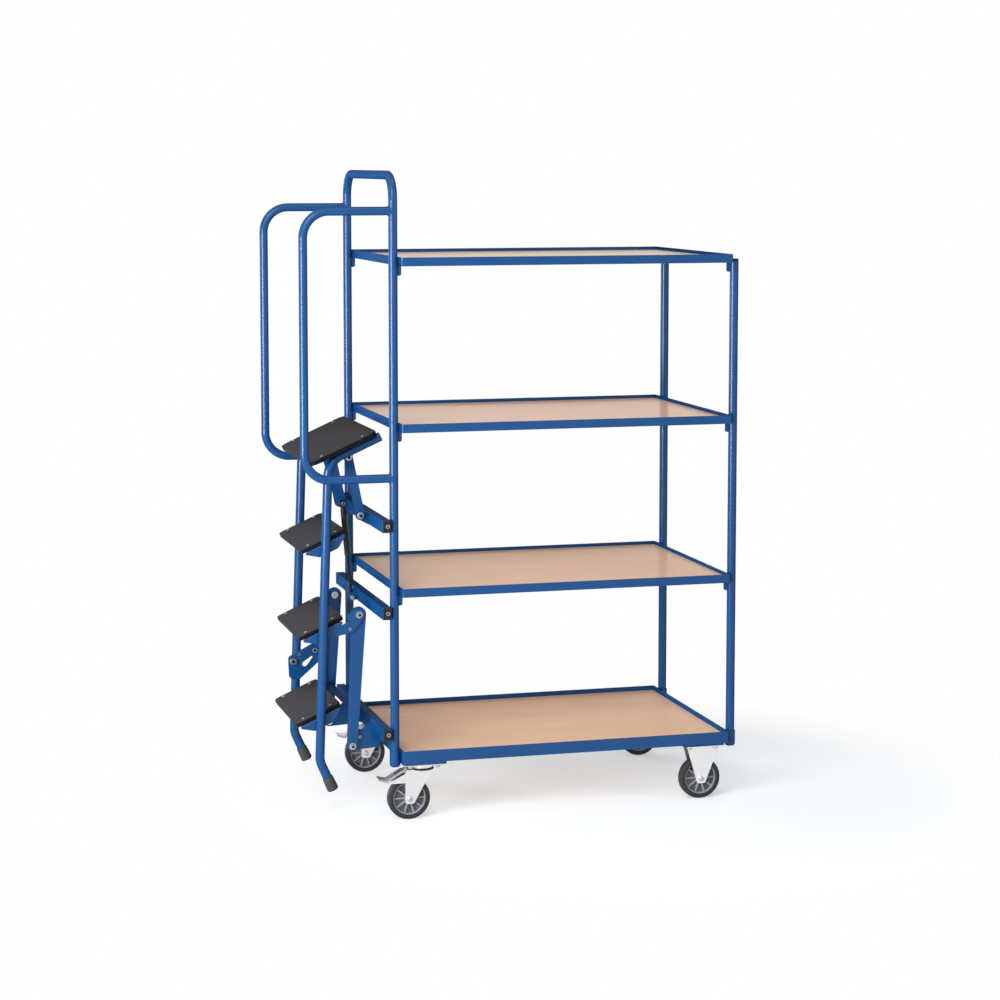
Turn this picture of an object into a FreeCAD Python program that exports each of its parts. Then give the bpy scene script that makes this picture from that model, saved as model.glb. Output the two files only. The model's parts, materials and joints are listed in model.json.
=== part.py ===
import FreeCAD, Part
import math
import os

# Order picking trolley with four decks and a ladder that swings down on links.
# Lengths are millimetres and angles degrees. X runs along the trolley with the ladder on the
# negative side, Y runs across it with the front on the negative side, Z is up from the floor.

os.makedirs("parts", exist_ok=True)

# Decks
deck_length = 1000.0
deck_depth = 700.0
deck_step = 475.0
deck_count = 4
rail_height = 25.0
bottom_rail_height = 35.0
rail_wall = 3.0
rail_flange = 25.0
rail_corner = 5.0
panel_thick = 12.0
bottom_panel_thick = 18.0
panel_gap = 1.0
tab_thick = 4.0
tab_reach = 8.0
tab_drop = 28.0
tab_corner = 6.0

# Posts and push handle
post_radius = 13.0
tube_wall = 2.0
post_out = 16.0
post_inset = 37.5
handle_rise = 232.0
handle_bend = 70.0
sleeve_wall = 2.5
sleeve_floor = 4.0
sleeve_drop = 51.0
sleeve_set_down = 3.5
sleeve_round = 8.0
post_cap_height = 8.0
post_cap_drop = 14.0
post_cap_round = 3.0

# Handrails beside the ladder
rail_tube_radius = 12.5
rail_tube_reach = 260.0
rail_tube_rise = 131.0
rail_tube_above_bar = 137.0
rail_tube_bend = 75.0

# Crossbars on the ladder side of the posts
bar_width = 25.0
bar_height = 35.0
bar_wall = 2.0
bar_overhang = 19.5
bar_cap_thick = 4.0
bar_cap_round = 1.5
upper_bar_rise = 655.0
middle_bar_rise = 402.5
lower_bar_rise = 47.5

# Fits
weld_gap = 0.05
running_gap = 0.06
side_gap = 0.6
overrun = 5.0

# Link pivots at rest, measured out from the crossbars' outer faces and up or down from the bars
lower_pivot_reach = 59.35
lower_pivot_drop = 61.3
upper_pivot_reach = 26.25
upper_pivot_rise = 10.2
ladder_pivot_reach = 38.25
ladder_pivot_rise = 391.4
ladder_turn = 24.2

# Ladder in its lowered, level attitude: ahead is towards the decks, from the feet's middle
eye_ahead_of_step = 117.099
eye_under_board = 5.8
link_top_ahead = 454.7
link_top_drop = 36.0
gas_top_ahead = 408.1
lever_drop = 191.1
stringer_half_gap = 200.0
stringer_radius = 13.5
stringer_lean = 26.2
stringer_knee = 95.5
stringer_knee_bend = 60.0
stringer_top_bend = 70.0
stringer_end_ahead = 558.0
first_step = 221.0
step_pitch = 230.0
step_count = 3
step_depth = 142.0
step_end_gap = 1.45
step_setback = 5.5
board_thick = 12.0
step_corner = 12.0
platform_ahead = 335.0
platform_depth = 214.0
platform_overhang = 37.0
platform_corner = 24.0
foot_radius = 17.0
foot_neck_radius = 15.6
foot_height = 42.0
foot_floor = 8.0

# Step brackets, arms and plates on the ladder
bracket_thick = 4.0
bracket_top_half = 60.0
bracket_bottom_half = 29.0
bracket_drop = 30.0
bracket_round = 4.0
bracket_shelf = 32.0
bracket_bend = 2.5
arm_eye = 18.0
arm_heel_back = 40.5
arm_heel_drop = 29.2
arm_heel_round = 10.0
arm_root_ahead = 12.6
arm_root_low = 23.0
arm_root_high = 8.0
arm_root_round = 6.0
arm_dip_back = 34.5
arm_dip_drop = 11.0
lock_plate_thick = 4.0
lock_left_ahead = 87.0
lock_left_rise = 87.0
lock_right_ahead = 165.0
lock_right_rise = 88.0
lock_side_ahead = 69.0
lock_side_rise = 42.0
lock_foot_ahead = 82.0
lock_foot_rise = 33.0
lock_heel_ahead = 160.0
lock_heel_rise = 56.0
lock_round = 15.0
lock_small_round = 12.0
lock_hole_ahead = 116.0
lock_hole_rise = 56.0
lock_hole_radius = 8.0
lock_slot_ahead = 144.0
lock_slot_rise = 66.0
lock_slot_radius = 3.0

# Links
lower_link_low_radius = 15.0
lower_link_high_radius = 22.0
lower_link_depth = 10.0
lower_link_web = 4.0
lower_link_gap = 2.45
link_brace_size = 15.0
link_brace_share = 0.28
upper_link_low_radius = 14.0
upper_link_high_radius = 13.0
upper_link_thick = 5.0
upper_link_inset = 20.5
lug_thick = 5.0
lug_gap = 1.5
lug_edge = 7.0
lug_round = 13.0
lug_flange = 24.0
lower_bracket_apex = 10.5
lower_bracket_drop = 54.0
lower_bracket_round = 4.0
lower_bracket_gap = 3.0
pivot_radius = 6.0
small_pivot_radius = 5.0
bolt_head_radius = 10.0
bolt_head_high = 5.0

# Gas spring between the middle crossbar and the ladder
gas_side = 32.0
gas_low_reach = 14.75
gas_low_drop = 9.5
gas_eye_radius = 10.0
gas_eye_width = 12.0
gas_pin_radius = 4.0
gas_rod_radius = 4.0
gas_rod_share = 0.7515
gas_body_radius = 9.0
gas_body_share = 0.4475
gas_body_neck = 16.0
gas_bore_gap = 0.4
gas_bore_end = 18.0
gas_bolt_radius = 7.0
gas_bolt_high = 4.0
gas_cheek_thick = 4.0
gas_cheek_round = 11.0
gas_cheek_edge = 2.0
gas_cheek_reach = 13.0
lever_thick = 5.0
lever_gap = 3.5
lever_low_radius = 13.0
lever_hole_radius = 5.0
lever_left = 418.0
lever_right = 456.0
lever_round = 4.0
lever_shelf = 28.0

# Casters
caster_inset_x = 67.0
caster_inset_y = 52.0
caster_trail = 40.0
wheel_radius = 62.5
wheel_width = 32.0
tyre_thick = 13.5
tyre_round = 7.0
rim_thick = 4.0
rim_set_in = 2.5
web_width = 6.0
spoke_count = 10
spoke_width = 3.5
spoke_depth = 20.0
hub_radius = 15.0
hub_stand = 2.0
spoke_root = 3.0
axle_radius = 6.0
axle_head_radius = 9.5
axle_head_high = 4.0
fork_thick = 3.0
fork_gap = 1.0
fork_foot_half = 7.0
fork_foot_round = 7.5
fork_foot_drop = 7.0
fork_round = 6.0
fork_shoulder_rise = 17.0
fork_ahead = 17.0
fork_behind = 47.0
fixed_inset_x = 73.0
fixed_inset_y = 62.0
fixed_fork_ahead = 48.0
fixed_fork_behind = 38.0
fixed_shoulder_rise = 32.0
crown_radius = 32.0
crown_rise = 23.0
crown_thick = 14.4
plate_thick = 4.0
plate_half_x = 52.0
plate_half_y = 42.0
plate_corner = 10.0
pad_half_x = 65.0
pad_half_y = 50.0
pad_corner = 12.0
pad_thick = 8.0
king_pin_radius = 8.0
king_nut_radius = 12.0
king_nut_high = 7.0
pedal_behind = 45.0
pedal_rise = 18.0
pedal_pin_radius = 3.0
pedal_eye = 5.5
pedal_knee_behind = 61.0
pedal_knee_rise = 18.5
pedal_tip_behind = 107.0
pedal_tip_drop = 8.0
pedal_thick_half = 3.5
pedal_side_gap = 3.0
pedal_lip_behind = 132.0
pedal_lip_drop = 1.0
pedal_lip_half = 2.0
pedal_tread_half_width = 23.0
wing_tip_behind = 93.0
wing_tip_drop = 11.0
wing_round = 4.0
wing_root_behind = 46.0
wing_top_rise = 12.0

# Places that follow: casters and decks
wheel_top = 2 * wheel_radius
tyre_inner = wheel_radius - tyre_thick
rim_inner = tyre_inner - rim_thick
rim_width = wheel_width - 2 * rim_set_in
hub_width = wheel_width + 2 * hub_stand
fork_inner = hub_width / 2 + fork_gap
crown_low = wheel_top + crown_rise
crown_high = crown_low + crown_thick
plate_low = crown_high + side_gap
plate_high = plate_low + plate_thick
caster_in_x = deck_length / 2 - caster_inset_x
caster_in_y = deck_depth / 2 - caster_inset_y
fixed_in_x = deck_length / 2 - fixed_inset_x
fixed_in_y = deck_depth / 2 - fixed_inset_y
pedal_height = wheel_top + pedal_rise
bottom_deck_top = plate_high + pad_thick + bottom_rail_height
top_deck_top = bottom_deck_top + deck_step * (deck_count - 1)

# Places that follow: posts, handle, handrails and crossbars
post_x = deck_length / 2 + post_out
post_y = deck_depth / 2 - post_inset
sleeve_low = bottom_deck_top - sleeve_drop
sleeve_high = bottom_deck_top - sleeve_set_down
sleeve_radius = post_radius + sleeve_wall
post_low = sleeve_low + sleeve_floor
handle_height = top_deck_top + handle_rise
upper_bar_height = bottom_deck_top + upper_bar_rise
middle_bar_height = bottom_deck_top + middle_bar_rise
lower_bar_height = bottom_deck_top + lower_bar_rise
bar_half_length = post_y + bar_overhang
bar_inner = -post_x - post_radius - weld_gap
bar_outer = bar_inner - bar_width
rail_tube_out = post_x + rail_tube_reach
rail_tube_high = top_deck_top + rail_tube_rise
rail_tube_low = upper_bar_height + rail_tube_above_bar
left_reach = rail_tube_out + rail_tube_radius
right_reach = post_x + sleeve_radius
shift_x = (left_reach - right_reach) / 2

# Places that follow: link pivots at rest
lower_pivot_out = lower_pivot_reach - bar_outer
lower_pivot_height = lower_bar_height - lower_pivot_drop
upper_pivot_out = upper_pivot_reach - bar_outer
upper_pivot_height = upper_bar_height + upper_pivot_rise
ladder_pivot_out = ladder_pivot_reach - bar_outer
ladder_pivot_height = lower_pivot_height + ladder_pivot_rise
gas_low_out = gas_low_reach - bar_outer
gas_low_height = middle_bar_height - gas_low_drop

# Places that follow: ladder and links across Y
bracket_out = stringer_half_gap - stringer_radius - weld_gap
bracket_in = bracket_out - bracket_thick
step_width = 2 * (bracket_in - step_end_gap)
platform_width = 2 * (stringer_half_gap + platform_overhang)
lower_link_out = bracket_in - lower_link_gap
lower_link_side = lower_link_out - lower_link_depth
lower_bracket_out = lower_link_side - lower_bracket_gap
lower_bracket_in = lower_bracket_out - lug_thick
upper_link_side = lower_link_side - upper_link_inset
lug_out = upper_link_side - lug_gap
lug_in = lug_out - lug_thick

# Places that follow: ladder heights
platform_top = first_step + step_pitch * step_count
platform_under = platform_top - board_thick
link_top_above = platform_under - link_top_drop
gas_top_above = platform_under - lever_drop
lean = math.tan(math.radians(stringer_lean))
middle_step_under = first_step + step_pitch - board_thick
middle_step_ahead = (first_step + step_pitch - stringer_knee) * lean - step_setback
ladder_pivot_above = middle_step_under - eye_under_board
ladder_pivot_ahead = middle_step_ahead + eye_ahead_of_step


def point(x, y, z):
    return FreeCAD.Vector(x, y, z)


def block(x0, x1, y0, y1, z0, z1):
    return Part.makeBox(x1 - x0, y1 - y0, z1 - z0, point(x0, y0, z0))


def rounded_block(half_x, half_y, z0, z1, corner, middle_x, middle_y):
    body = block(middle_x - half_x, middle_x + half_x, middle_y - half_y, middle_y + half_y, z0, z1)
    upright = [e for e in body.Edges if abs(e.tangentAt(e.FirstParameter).z) > 0.9]
    return body.makeFillet(corner, upright)


def upright_rod(radius, x, y, z0, z1):
    return Part.makeCylinder(radius, z1 - z0, point(x, y, z0))


def cross_rod(radius, x, z, y0, y1):
    return Part.makeCylinder(radius, y1 - y0, point(x, y0, z), point(0, 1, 0))


def belt(circles, y0, y1):
    """Plate across Y whose outline is a belt round (x, z, radius) circles taken anticlockwise."""
    normals = []
    for (xa, za, ra), (xb, zb, rb) in zip(circles, circles[1:] + circles[:1]):
        span = math.hypot(xb - xa, zb - za)
        tilt = math.acos((ra - rb) / span)
        normals.append(math.atan2(zb - za, xb - xa) - tilt)
    edges = []
    for i, (x, z, r) in enumerate(circles):
        start = normals[i - 1]
        sweep = (normals[i] - start) % (2 * math.pi)
        turns = [start, start + sweep / 2, start + sweep]
        arc = [point(x + r * math.cos(a), y0, z + r * math.sin(a)) for a in turns]
        edges.append(Part.Arc(*arc).toShape())
    sides = []
    for i, edge in enumerate(edges):
        after = edges[(i + 1) % len(edges)]
        sides.append(edge)
        sides.append(Part.makeLine(edge.valueAt(edge.LastParameter), after.valueAt(after.FirstParameter)))
    return Part.Face(Part.Wire(sides)).extrude(point(0, y1 - y0, 0))


def bent_path(corners, bends):
    edges = []
    last = corners[0]
    for before, corner, after, bend in zip(corners, corners[1:], corners[2:], bends):
        into = (before - corner).normalize()
        out = (after - corner).normalize()
        half = into.getAngle(out) / 2
        start = corner + into * (bend / math.tan(half))
        end = corner + out * (bend / math.tan(half))
        middle = corner + (into + out).normalize() * (bend / math.sin(half) - bend)
        edges.append(Part.makeLine(last, start))
        edges.append(Part.Arc(start, middle, end).toShape())
        last = end
    edges.append(Part.makeLine(last, corners[-1]))
    return Part.Wire(edges)


def bent_tube(corners, bends, radius, wall):
    path = bent_path(corners, bends)
    along = corners[1] - corners[0]
    skins = []
    for r in (radius, radius - wall):
        ring = Part.Wire(Part.makeCircle(r, corners[0], along))
        skins.append(path.makePipeShell([ring], True, False))
    return skins[0].cut(skins[1])


def other_side(shape):
    return shape.mirror(point(0, 0, 0), point(0, 1, 0))


def to_rest(shape):
    """Turns a ladder piece from the level attitude to the raised one and hangs it on its pivot."""
    turned = shape.copy()
    turned.rotate(point(ladder_pivot_ahead, 0, ladder_pivot_above), point(0, 1, 0), -ladder_turn)
    across = -ladder_pivot_out - ladder_pivot_ahead
    turned.translate(point(across, 0, ladder_pivot_height - ladder_pivot_above))
    return turned


def rest_point(ahead, above):
    turn = math.radians(ladder_turn)
    dx = ahead - ladder_pivot_ahead
    dz = above - ladder_pivot_above
    x = dx * math.cos(turn) - dz * math.sin(turn) - ladder_pivot_out
    z = dx * math.sin(turn) + dz * math.cos(turn) + ladder_pivot_height
    return x, z


def save(name, *pieces):
    shape = pieces[0] if len(pieces) == 1 else Part.makeCompound(list(pieces))
    moved = shape.copy()
    moved.translate(point(shift_x, 0, 0))
    moved.exportStep("parts/" + name + ".step")


# Posts, push handle and caps
def handle_tube():
    corners = [point(-post_x, -post_y, post_low), point(-post_x, -post_y, handle_height),
               point(-post_x, post_y, handle_height), point(-post_x, post_y, post_low)]
    return bent_tube(corners, [handle_bend, handle_bend], post_radius, tube_wall)


def right_post(side):
    high = top_deck_top - post_cap_drop - post_cap_height
    outer = upright_rod(post_radius, post_x, side * post_y, post_low, high)
    return outer.cut(upright_rod(post_radius - tube_wall, post_x, side * post_y, post_low, high))


def post_cap(side):
    high = top_deck_top - post_cap_drop
    cap = upright_rod(post_radius, post_x, side * post_y, high - post_cap_height, high)
    rim = [e for e in cap.Edges if e.BoundBox.ZMin > high - post_cap_round]
    return cap.makeFillet(post_cap_round, rim)


# Deck frames of angle steel with tabs to the posts
def angle_frame(top, height):
    half_x = deck_length / 2
    half_y = deck_depth / 2
    low = top - height
    frame = rounded_block(half_x, half_y, low, top, rail_corner, 0, 0)
    hollow_x = half_x - rail_wall
    hollow_y = half_y - rail_wall
    frame = frame.cut(block(-hollow_x, hollow_x, -hollow_y, hollow_y, low + rail_wall, top + overrun))
    open_x = half_x - rail_flange
    open_y = half_y - rail_flange
    return frame.cut(block(-open_x, open_x, -open_y, open_y, low - overrun, top))


def deck_tab(side_x, side_y, top, low, drop):
    end = deck_length / 2
    inner = end - tab_reach
    foot = low - drop
    outer_half = block(end, post_x, -tab_thick / 2, tab_thick / 2, foot, top)
    inner_half = block(inner, end, -tab_thick / 2, tab_thick / 2, foot, low)
    inside = [e for e in inner_half.Edges if e.BoundBox.XMax < inner + tab_corner]
    inner_half = inner_half.makeFillet(tab_corner, [e for e in inside if e.BoundBox.ZMax < foot + tab_corner])
    tab = outer_half.fuse(inner_half)
    tab = tab.cut(upright_rod(post_radius + weld_gap, post_x, 0, foot - overrun, top + overrun))
    if side_x < 0:
        tab = tab.mirror(point(0, 0, 0), point(1, 0, 0))
    tab.translate(point(0, side_y * post_y, 0))
    return tab


def upper_frame(top):
    frame = angle_frame(top, rail_height)
    tabs = [deck_tab(sx, sy, top, top - rail_height, tab_drop) for sx in (-1, 1) for sy in (-1, 1)]
    return frame.multiFuse(tabs).removeSplitter()


def post_sleeve(side_x, side_y):
    x = side_x * post_x
    y = side_y * post_y
    sleeve = upright_rod(sleeve_radius, x, y, sleeve_low, sleeve_high)
    foot = [e for e in sleeve.Edges if e.BoundBox.ZMax < sleeve_low + sleeve_round]
    return sleeve.makeFillet(sleeve_round, foot)


def bottom_frame():
    top = bottom_deck_top
    low = top - bottom_rail_height
    frame = angle_frame(top, bottom_rail_height)
    extras = []
    sockets = []
    for sx, pad_x, pad_y in ((-1, caster_in_x, caster_in_y), (1, fixed_in_x, fixed_in_y)):
        for sy in (-1, 1):
            web_end = sorted((sx * deck_length / 2, sx * post_x))
            web_low = sy * post_y - tab_thick / 2
            extras.append(block(web_end[0], web_end[1], web_low, web_low + tab_thick, low, top))
            extras.append(post_sleeve(sx, sy))
            pad_at = (sx * pad_x, sy * pad_y)
            extras.append(rounded_block(pad_half_x, pad_half_y, plate_high, low, pad_corner, *pad_at))
            hole = post_radius + weld_gap
            sockets.append(upright_rod(hole, sx * post_x, sy * post_y, post_low, top + overrun))
    return frame.multiFuse(extras).cut(sockets).removeSplitter()


def deck_panel(top, height, thick):
    half_x = deck_length / 2 - rail_wall - panel_gap
    half_y = deck_depth / 2 - rail_wall - panel_gap
    low = top - height + rail_wall
    return block(-half_x, half_x, -half_y, half_y, low, low + thick)


# Handrail loops and crossbars
def handrail():
    y = -post_y
    corners = [point(-post_x, y, rail_tube_high), point(-rail_tube_out, y, rail_tube_high),
               point(-rail_tube_out, y, rail_tube_low), point(-post_x, y, rail_tube_low)]
    tube = bent_tube(corners, [rail_tube_bend, rail_tube_bend], rail_tube_radius, tube_wall)
    low = rail_tube_low - rail_tube_radius - overrun
    high = rail_tube_high + rail_tube_radius + overrun
    return tube.cut(upright_rod(post_radius + weld_gap, -post_x, y, low, high))


def crossbar_solid(height):
    half = bar_height / 2
    return block(bar_outer, bar_inner, -bar_half_length, bar_half_length, height - half, height + half)


def crossbar(height):
    low = height - bar_height / 2
    high = height + bar_height / 2
    solid = crossbar_solid(height)
    reach = bar_half_length + overrun
    hollow = block(bar_outer + bar_wall, bar_inner - bar_wall, -reach, reach, low + bar_wall, high - bar_wall)
    return solid.cut(hollow)


def crossbar_cap(height, side):
    y = sorted((side * bar_half_length, side * (bar_half_length + bar_cap_thick)))
    cap = block(bar_outer, bar_inner, y[0], y[1], height - bar_height / 2, height + bar_height / 2)
    face = side * (bar_half_length + bar_cap_thick)
    rim = [e for e in cap.Edges if abs(e.BoundBox.YMin - face) + abs(e.BoundBox.YMax - face) < weld_gap]
    return cap.makeFillet(bar_cap_round, rim)


# Fixed ends of the links
def upper_lug():
    """Lug on the upper crossbar with a nut on its inner face, opposite the upper link's pin."""
    x = -upper_pivot_out
    z = upper_pivot_height
    low = upper_bar_height - bar_height / 2 + lug_edge
    high = upper_bar_height + bar_height / 2 - lug_edge
    roots = [(bar_outer, low, lug_edge), (bar_outer, high, lug_edge)]
    plate = belt([(x, z, lug_round)] + roots, -lug_out, -lug_in)
    inside = block(bar_outer, bar_inner, -lug_out, -lug_in, low - bar_height, high + bar_height)
    nut = cross_rod(bolt_head_radius, x, z, -lug_in, -lug_in + bolt_head_high)
    return plate.cut(inside).fuse(nut).removeSplitter()


def lower_bracket():
    """Triangular plate that carries the lower link's pivot under the lowest crossbar."""
    bar_low = lower_bar_height - bar_height / 2
    r = lower_bracket_round
    eye = (-lower_pivot_out, lower_pivot_height, lower_link_low_radius)
    heel = (bar_inner - r, bar_low - lower_bracket_drop + r, r)
    top = (bar_outer + r, lower_bar_height + lower_bracket_apex - r, r)
    back = (bar_inner - r, bar_low + r, r)
    plate = belt([eye, heel, back, top], -lower_bracket_out, -lower_bracket_in)
    bore = cross_rod(pivot_radius + running_gap, -lower_pivot_out, lower_pivot_height,
                     -lower_bracket_out - overrun, -lower_bracket_in + overrun)
    return plate.cut(crossbar_solid(lower_bar_height)).cut(bore)


def bolt(x, z, radius, head_at, head_out, nut_at):
    """Pivot bolt across Y: head outside at head_at, nut inside at nut_at, on the front side."""
    shank = cross_rod(radius, x, z, -head_at, -nut_at)
    head = cross_rod(bolt_head_radius, x, z, -head_at - head_out, -head_at)
    nut = cross_rod(bolt_head_radius, x, z, -nut_at, -nut_at + bolt_head_high)
    return shank.fuse(head).fuse(nut).removeSplitter()


def lower_pivot_bolt():
    return bolt(-lower_pivot_out, lower_pivot_height, pivot_radius,
                lower_link_out + side_gap, bolt_head_high, lower_bracket_in)


# Moving links
def lower_link():
    """Pressed channel that tapers from the ladder pivot down to the lower bracket."""
    b = (-lower_pivot_out, lower_pivot_height)
    d = (-ladder_pivot_out, ladder_pivot_height)
    low = lower_link_low_radius
    high = lower_link_high_radius
    skin = belt([(b[0], b[1], low), (d[0], d[1], high)], -lower_link_out, -lower_link_side)
    web = lower_link_web
    hollow = belt([(b[0], b[1], low - web), (d[0], d[1], high - web)],
                  -lower_link_out + web, -lower_link_side + overrun)
    link = skin.cut(hollow)
    hole = pivot_radius + running_gap
    for x, z in (b, d):
        link = link.cut(cross_rod(hole, x, z, -lower_link_out - overrun, -lower_link_side))
    return link


def lower_link_brace():
    """Square tube that ties the lower links together, from web to web."""
    share = link_brace_share
    x = -share * ladder_pivot_out - (1 - share) * lower_pivot_out
    z = share * ladder_pivot_height + (1 - share) * lower_pivot_height
    half = link_brace_size / 2
    bore = half - tube_wall
    reach = lower_link_out - lower_link_web - weld_gap
    tube = block(x - half, x + half, -reach, reach, z - half, z + half)
    return tube.cut(block(x - bore, x + bore, -reach - overrun, reach + overrun, z - bore, z + bore))


def upper_link():
    a = (-upper_pivot_out, upper_pivot_height)
    c = rest_point(link_top_ahead, link_top_above)
    outer = upper_link_side + upper_link_thick
    ends = [(a[0], a[1], upper_link_low_radius), (c[0], c[1], upper_link_high_radius)]
    link = belt(ends, -outer, -upper_link_side)
    hole = small_pivot_radius + running_gap
    for x, z in (a, c):
        link = link.cut(cross_rod(hole, x, z, -outer - overrun, -upper_link_side + overrun))
    return link


def upper_link_pin():
    """Pin of the open pivot. It stops at the link's inner face, so that it clears the lug in mid travel."""
    outer = upper_link_side + upper_link_thick
    shank = cross_rod(small_pivot_radius, -upper_pivot_out, upper_pivot_height, -outer, -upper_link_side)
    head = cross_rod(bolt_head_radius, -upper_pivot_out, upper_pivot_height, -outer - bolt_head_high, -outer)
    return shank.fuse(head).removeSplitter()


# Ladder, drawn level and then turned to rest
def stringer_at(above):
    return (above - stringer_knee) * lean


def stringer():
    y = -stringer_half_gap
    run_height = platform_under - stringer_radius - weld_gap
    corners = [point(0, y, foot_floor), point(0, y, stringer_knee),
               point(stringer_at(run_height), y, run_height), point(stringer_end_ahead, y, run_height)]
    return to_rest(bent_tube(corners, [stringer_knee_bend, stringer_top_bend], stringer_radius, tube_wall))


def ladder_foot():
    y = -stringer_half_gap
    foot = Part.makeCone(foot_radius, foot_neck_radius, foot_height, point(0, y, 0))
    return to_rest(foot.cut(upright_rod(stringer_radius + weld_gap, 0, y, foot_floor, foot_height + overrun)))


def step_middle(index):
    return stringer_at(first_step + step_pitch * index) - step_setback


def step_board(index):
    top = first_step + step_pitch * index
    low = top - board_thick
    middle = step_middle(index)
    return to_rest(rounded_block(step_depth / 2, step_width / 2, low, top, step_corner, middle, 0))


def platform_board():
    half = platform_depth / 2
    middle = platform_ahead + half
    width = platform_width / 2
    return to_rest(rounded_block(half, width, platform_under, platform_top, platform_corner, middle, 0))


def gusset(index):
    """Angle bracket at a step's front end: trapezoid gusset with a shelf under the board."""
    under = first_step + step_pitch * index - board_thick
    c = step_middle(index)
    r = bracket_round
    low = under - bracket_drop
    corners = [(c - bracket_bottom_half, low + r, r), (c + bracket_bottom_half, low + r, r),
               (c + bracket_top_half, under - r, r), (c - bracket_top_half, under - r, r)]
    plate = belt(corners, -bracket_out, -bracket_in)
    shelf = block(c - bracket_top_half + r, c + bracket_top_half - r,
                  -bracket_out, -bracket_out + bracket_shelf, under - bracket_thick, under)
    angle = plate.fuse(shelf).removeSplitter()
    face = [e for e in angle.Edges if e.BoundBox.YMax < -bracket_out + weld_gap]
    return angle.makeFillet(bracket_bend, [e for e in face if e.BoundBox.ZMin > under - weld_gap])


def step_bracket(index):
    return to_rest(gusset(index))


def ladder_arm():
    """Bracket of the middle step, carried on to the eye for the lower link."""
    eye = (ladder_pivot_ahead, ladder_pivot_above, arm_eye)
    heel = (ladder_pivot_ahead - arm_heel_back, ladder_pivot_above - arm_heel_drop, arm_heel_round)
    root = middle_step_ahead + arm_root_ahead
    root_low = (root, middle_step_under - arm_root_low, arm_root_round)
    root_high = (root, middle_step_under - arm_root_high, arm_root_round)
    arm = belt([root_low, heel, eye, root_high], -bracket_out, -bracket_in)
    dip_end = ladder_pivot_ahead - arm_dip_back
    dip = block(root - overrun, dip_end, -bracket_out - overrun, -bracket_in + overrun,
                middle_step_under - arm_dip_drop, ladder_pivot_above + arm_eye)
    arm = arm.cut(dip).fuse(gusset(1))
    bore = cross_rod(pivot_radius + weld_gap, ladder_pivot_ahead, ladder_pivot_above,
                     -bracket_out - overrun, -bracket_in + overrun)
    return to_rest(arm.cut(bore).removeSplitter())


def ladder_pivot_bolt():
    return to_rest(bolt(ladder_pivot_ahead, ladder_pivot_above, pivot_radius,
                        bracket_out, bolt_head_high, lower_link_side - side_gap))


def link_top_bolt():
    outer = upper_link_side + upper_link_thick + side_gap
    return to_rest(bolt(link_top_ahead, link_top_above, small_pivot_radius, outer, bolt_head_high, lug_in))


def platform_lug():
    """Angle under the platform that hangs the upper link's top pivot."""
    edge = upper_link_high_radius
    plate = belt([(link_top_ahead, link_top_above, edge),
                  (link_top_ahead + lug_flange, platform_under - lug_edge, lug_edge),
                  (link_top_ahead - lug_flange, platform_under - lug_edge, lug_edge)], -lug_out, -lug_in)
    shelf = block(link_top_ahead - lug_flange, link_top_ahead + lug_flange, -lug_out, -lug_in + lug_flange,
                  platform_under - lug_thick, platform_under)
    bore = cross_rod(small_pivot_radius + weld_gap, link_top_ahead, link_top_above,
                     -lug_out - overrun, -lug_in + overrun)
    return to_rest(plate.fuse(shelf).cut(bore).removeSplitter())


def lock_plate():
    """Plate with a keyhole opening on the inner side of the rear stringer."""
    y0 = bracket_out - lock_plate_thick
    base = first_step
    corners = [(lock_side_ahead, base + lock_side_rise, lock_small_round),
               (lock_foot_ahead, base + lock_foot_rise, lock_small_round),
               (lock_heel_ahead, base + lock_heel_rise, lock_small_round),
               (lock_right_ahead, base + lock_right_rise, lock_round),
               (lock_left_ahead, base + lock_left_rise, lock_small_round)]
    keyhole = [(lock_hole_ahead, base + lock_hole_rise, lock_hole_radius),
               (lock_slot_ahead, base + lock_slot_rise, lock_slot_radius)]
    return to_rest(belt(corners, y0, bracket_out).cut(belt(keyhole, y0 - overrun, bracket_out + overrun)))


# Gas spring
def gas_geometry():
    x, z = rest_point(gas_top_ahead, gas_top_above)
    low = point(-gas_low_out, gas_side, gas_low_height)
    high = point(x, gas_side, z)
    return low, (high - low).normalize(), (high - low).Length


def gas_eye(centre):
    half = gas_eye_width / 2
    return cross_rod(gas_eye_radius, centre.x, centre.z, gas_side - half, gas_side + half)


def gas_rod():
    low, along, span = gas_geometry()
    rod = Part.makeCylinder(gas_rod_radius, span * gas_rod_share, low, along).fuse(gas_eye(low))
    hole = gas_pin_radius + running_gap
    bore = cross_rod(hole, low.x, low.z, gas_side - gas_eye_width, gas_side + gas_eye_width)
    return rod.cut(bore).removeSplitter()


def gas_cylinder():
    low, along, span = gas_geometry()
    high = low + along * span
    start = low + along * (span * gas_body_share)
    length = span - span * gas_body_share - gas_body_neck
    body = Part.makeCylinder(gas_body_radius, length, start, along)
    bore_length = length - gas_bore_end
    body = body.cut(Part.makeCylinder(gas_rod_radius + gas_bore_gap, bore_length, start, along))
    neck = Part.makeCylinder(gas_rod_radius, gas_body_neck, high - along * gas_body_neck, along)
    half = gas_eye_width / 2
    head = cross_rod(gas_bolt_radius, high.x, high.z, gas_side - half - gas_bolt_high, gas_side)
    return body.fuse(neck).fuse(gas_eye(high)).fuse(head).removeSplitter()


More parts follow.
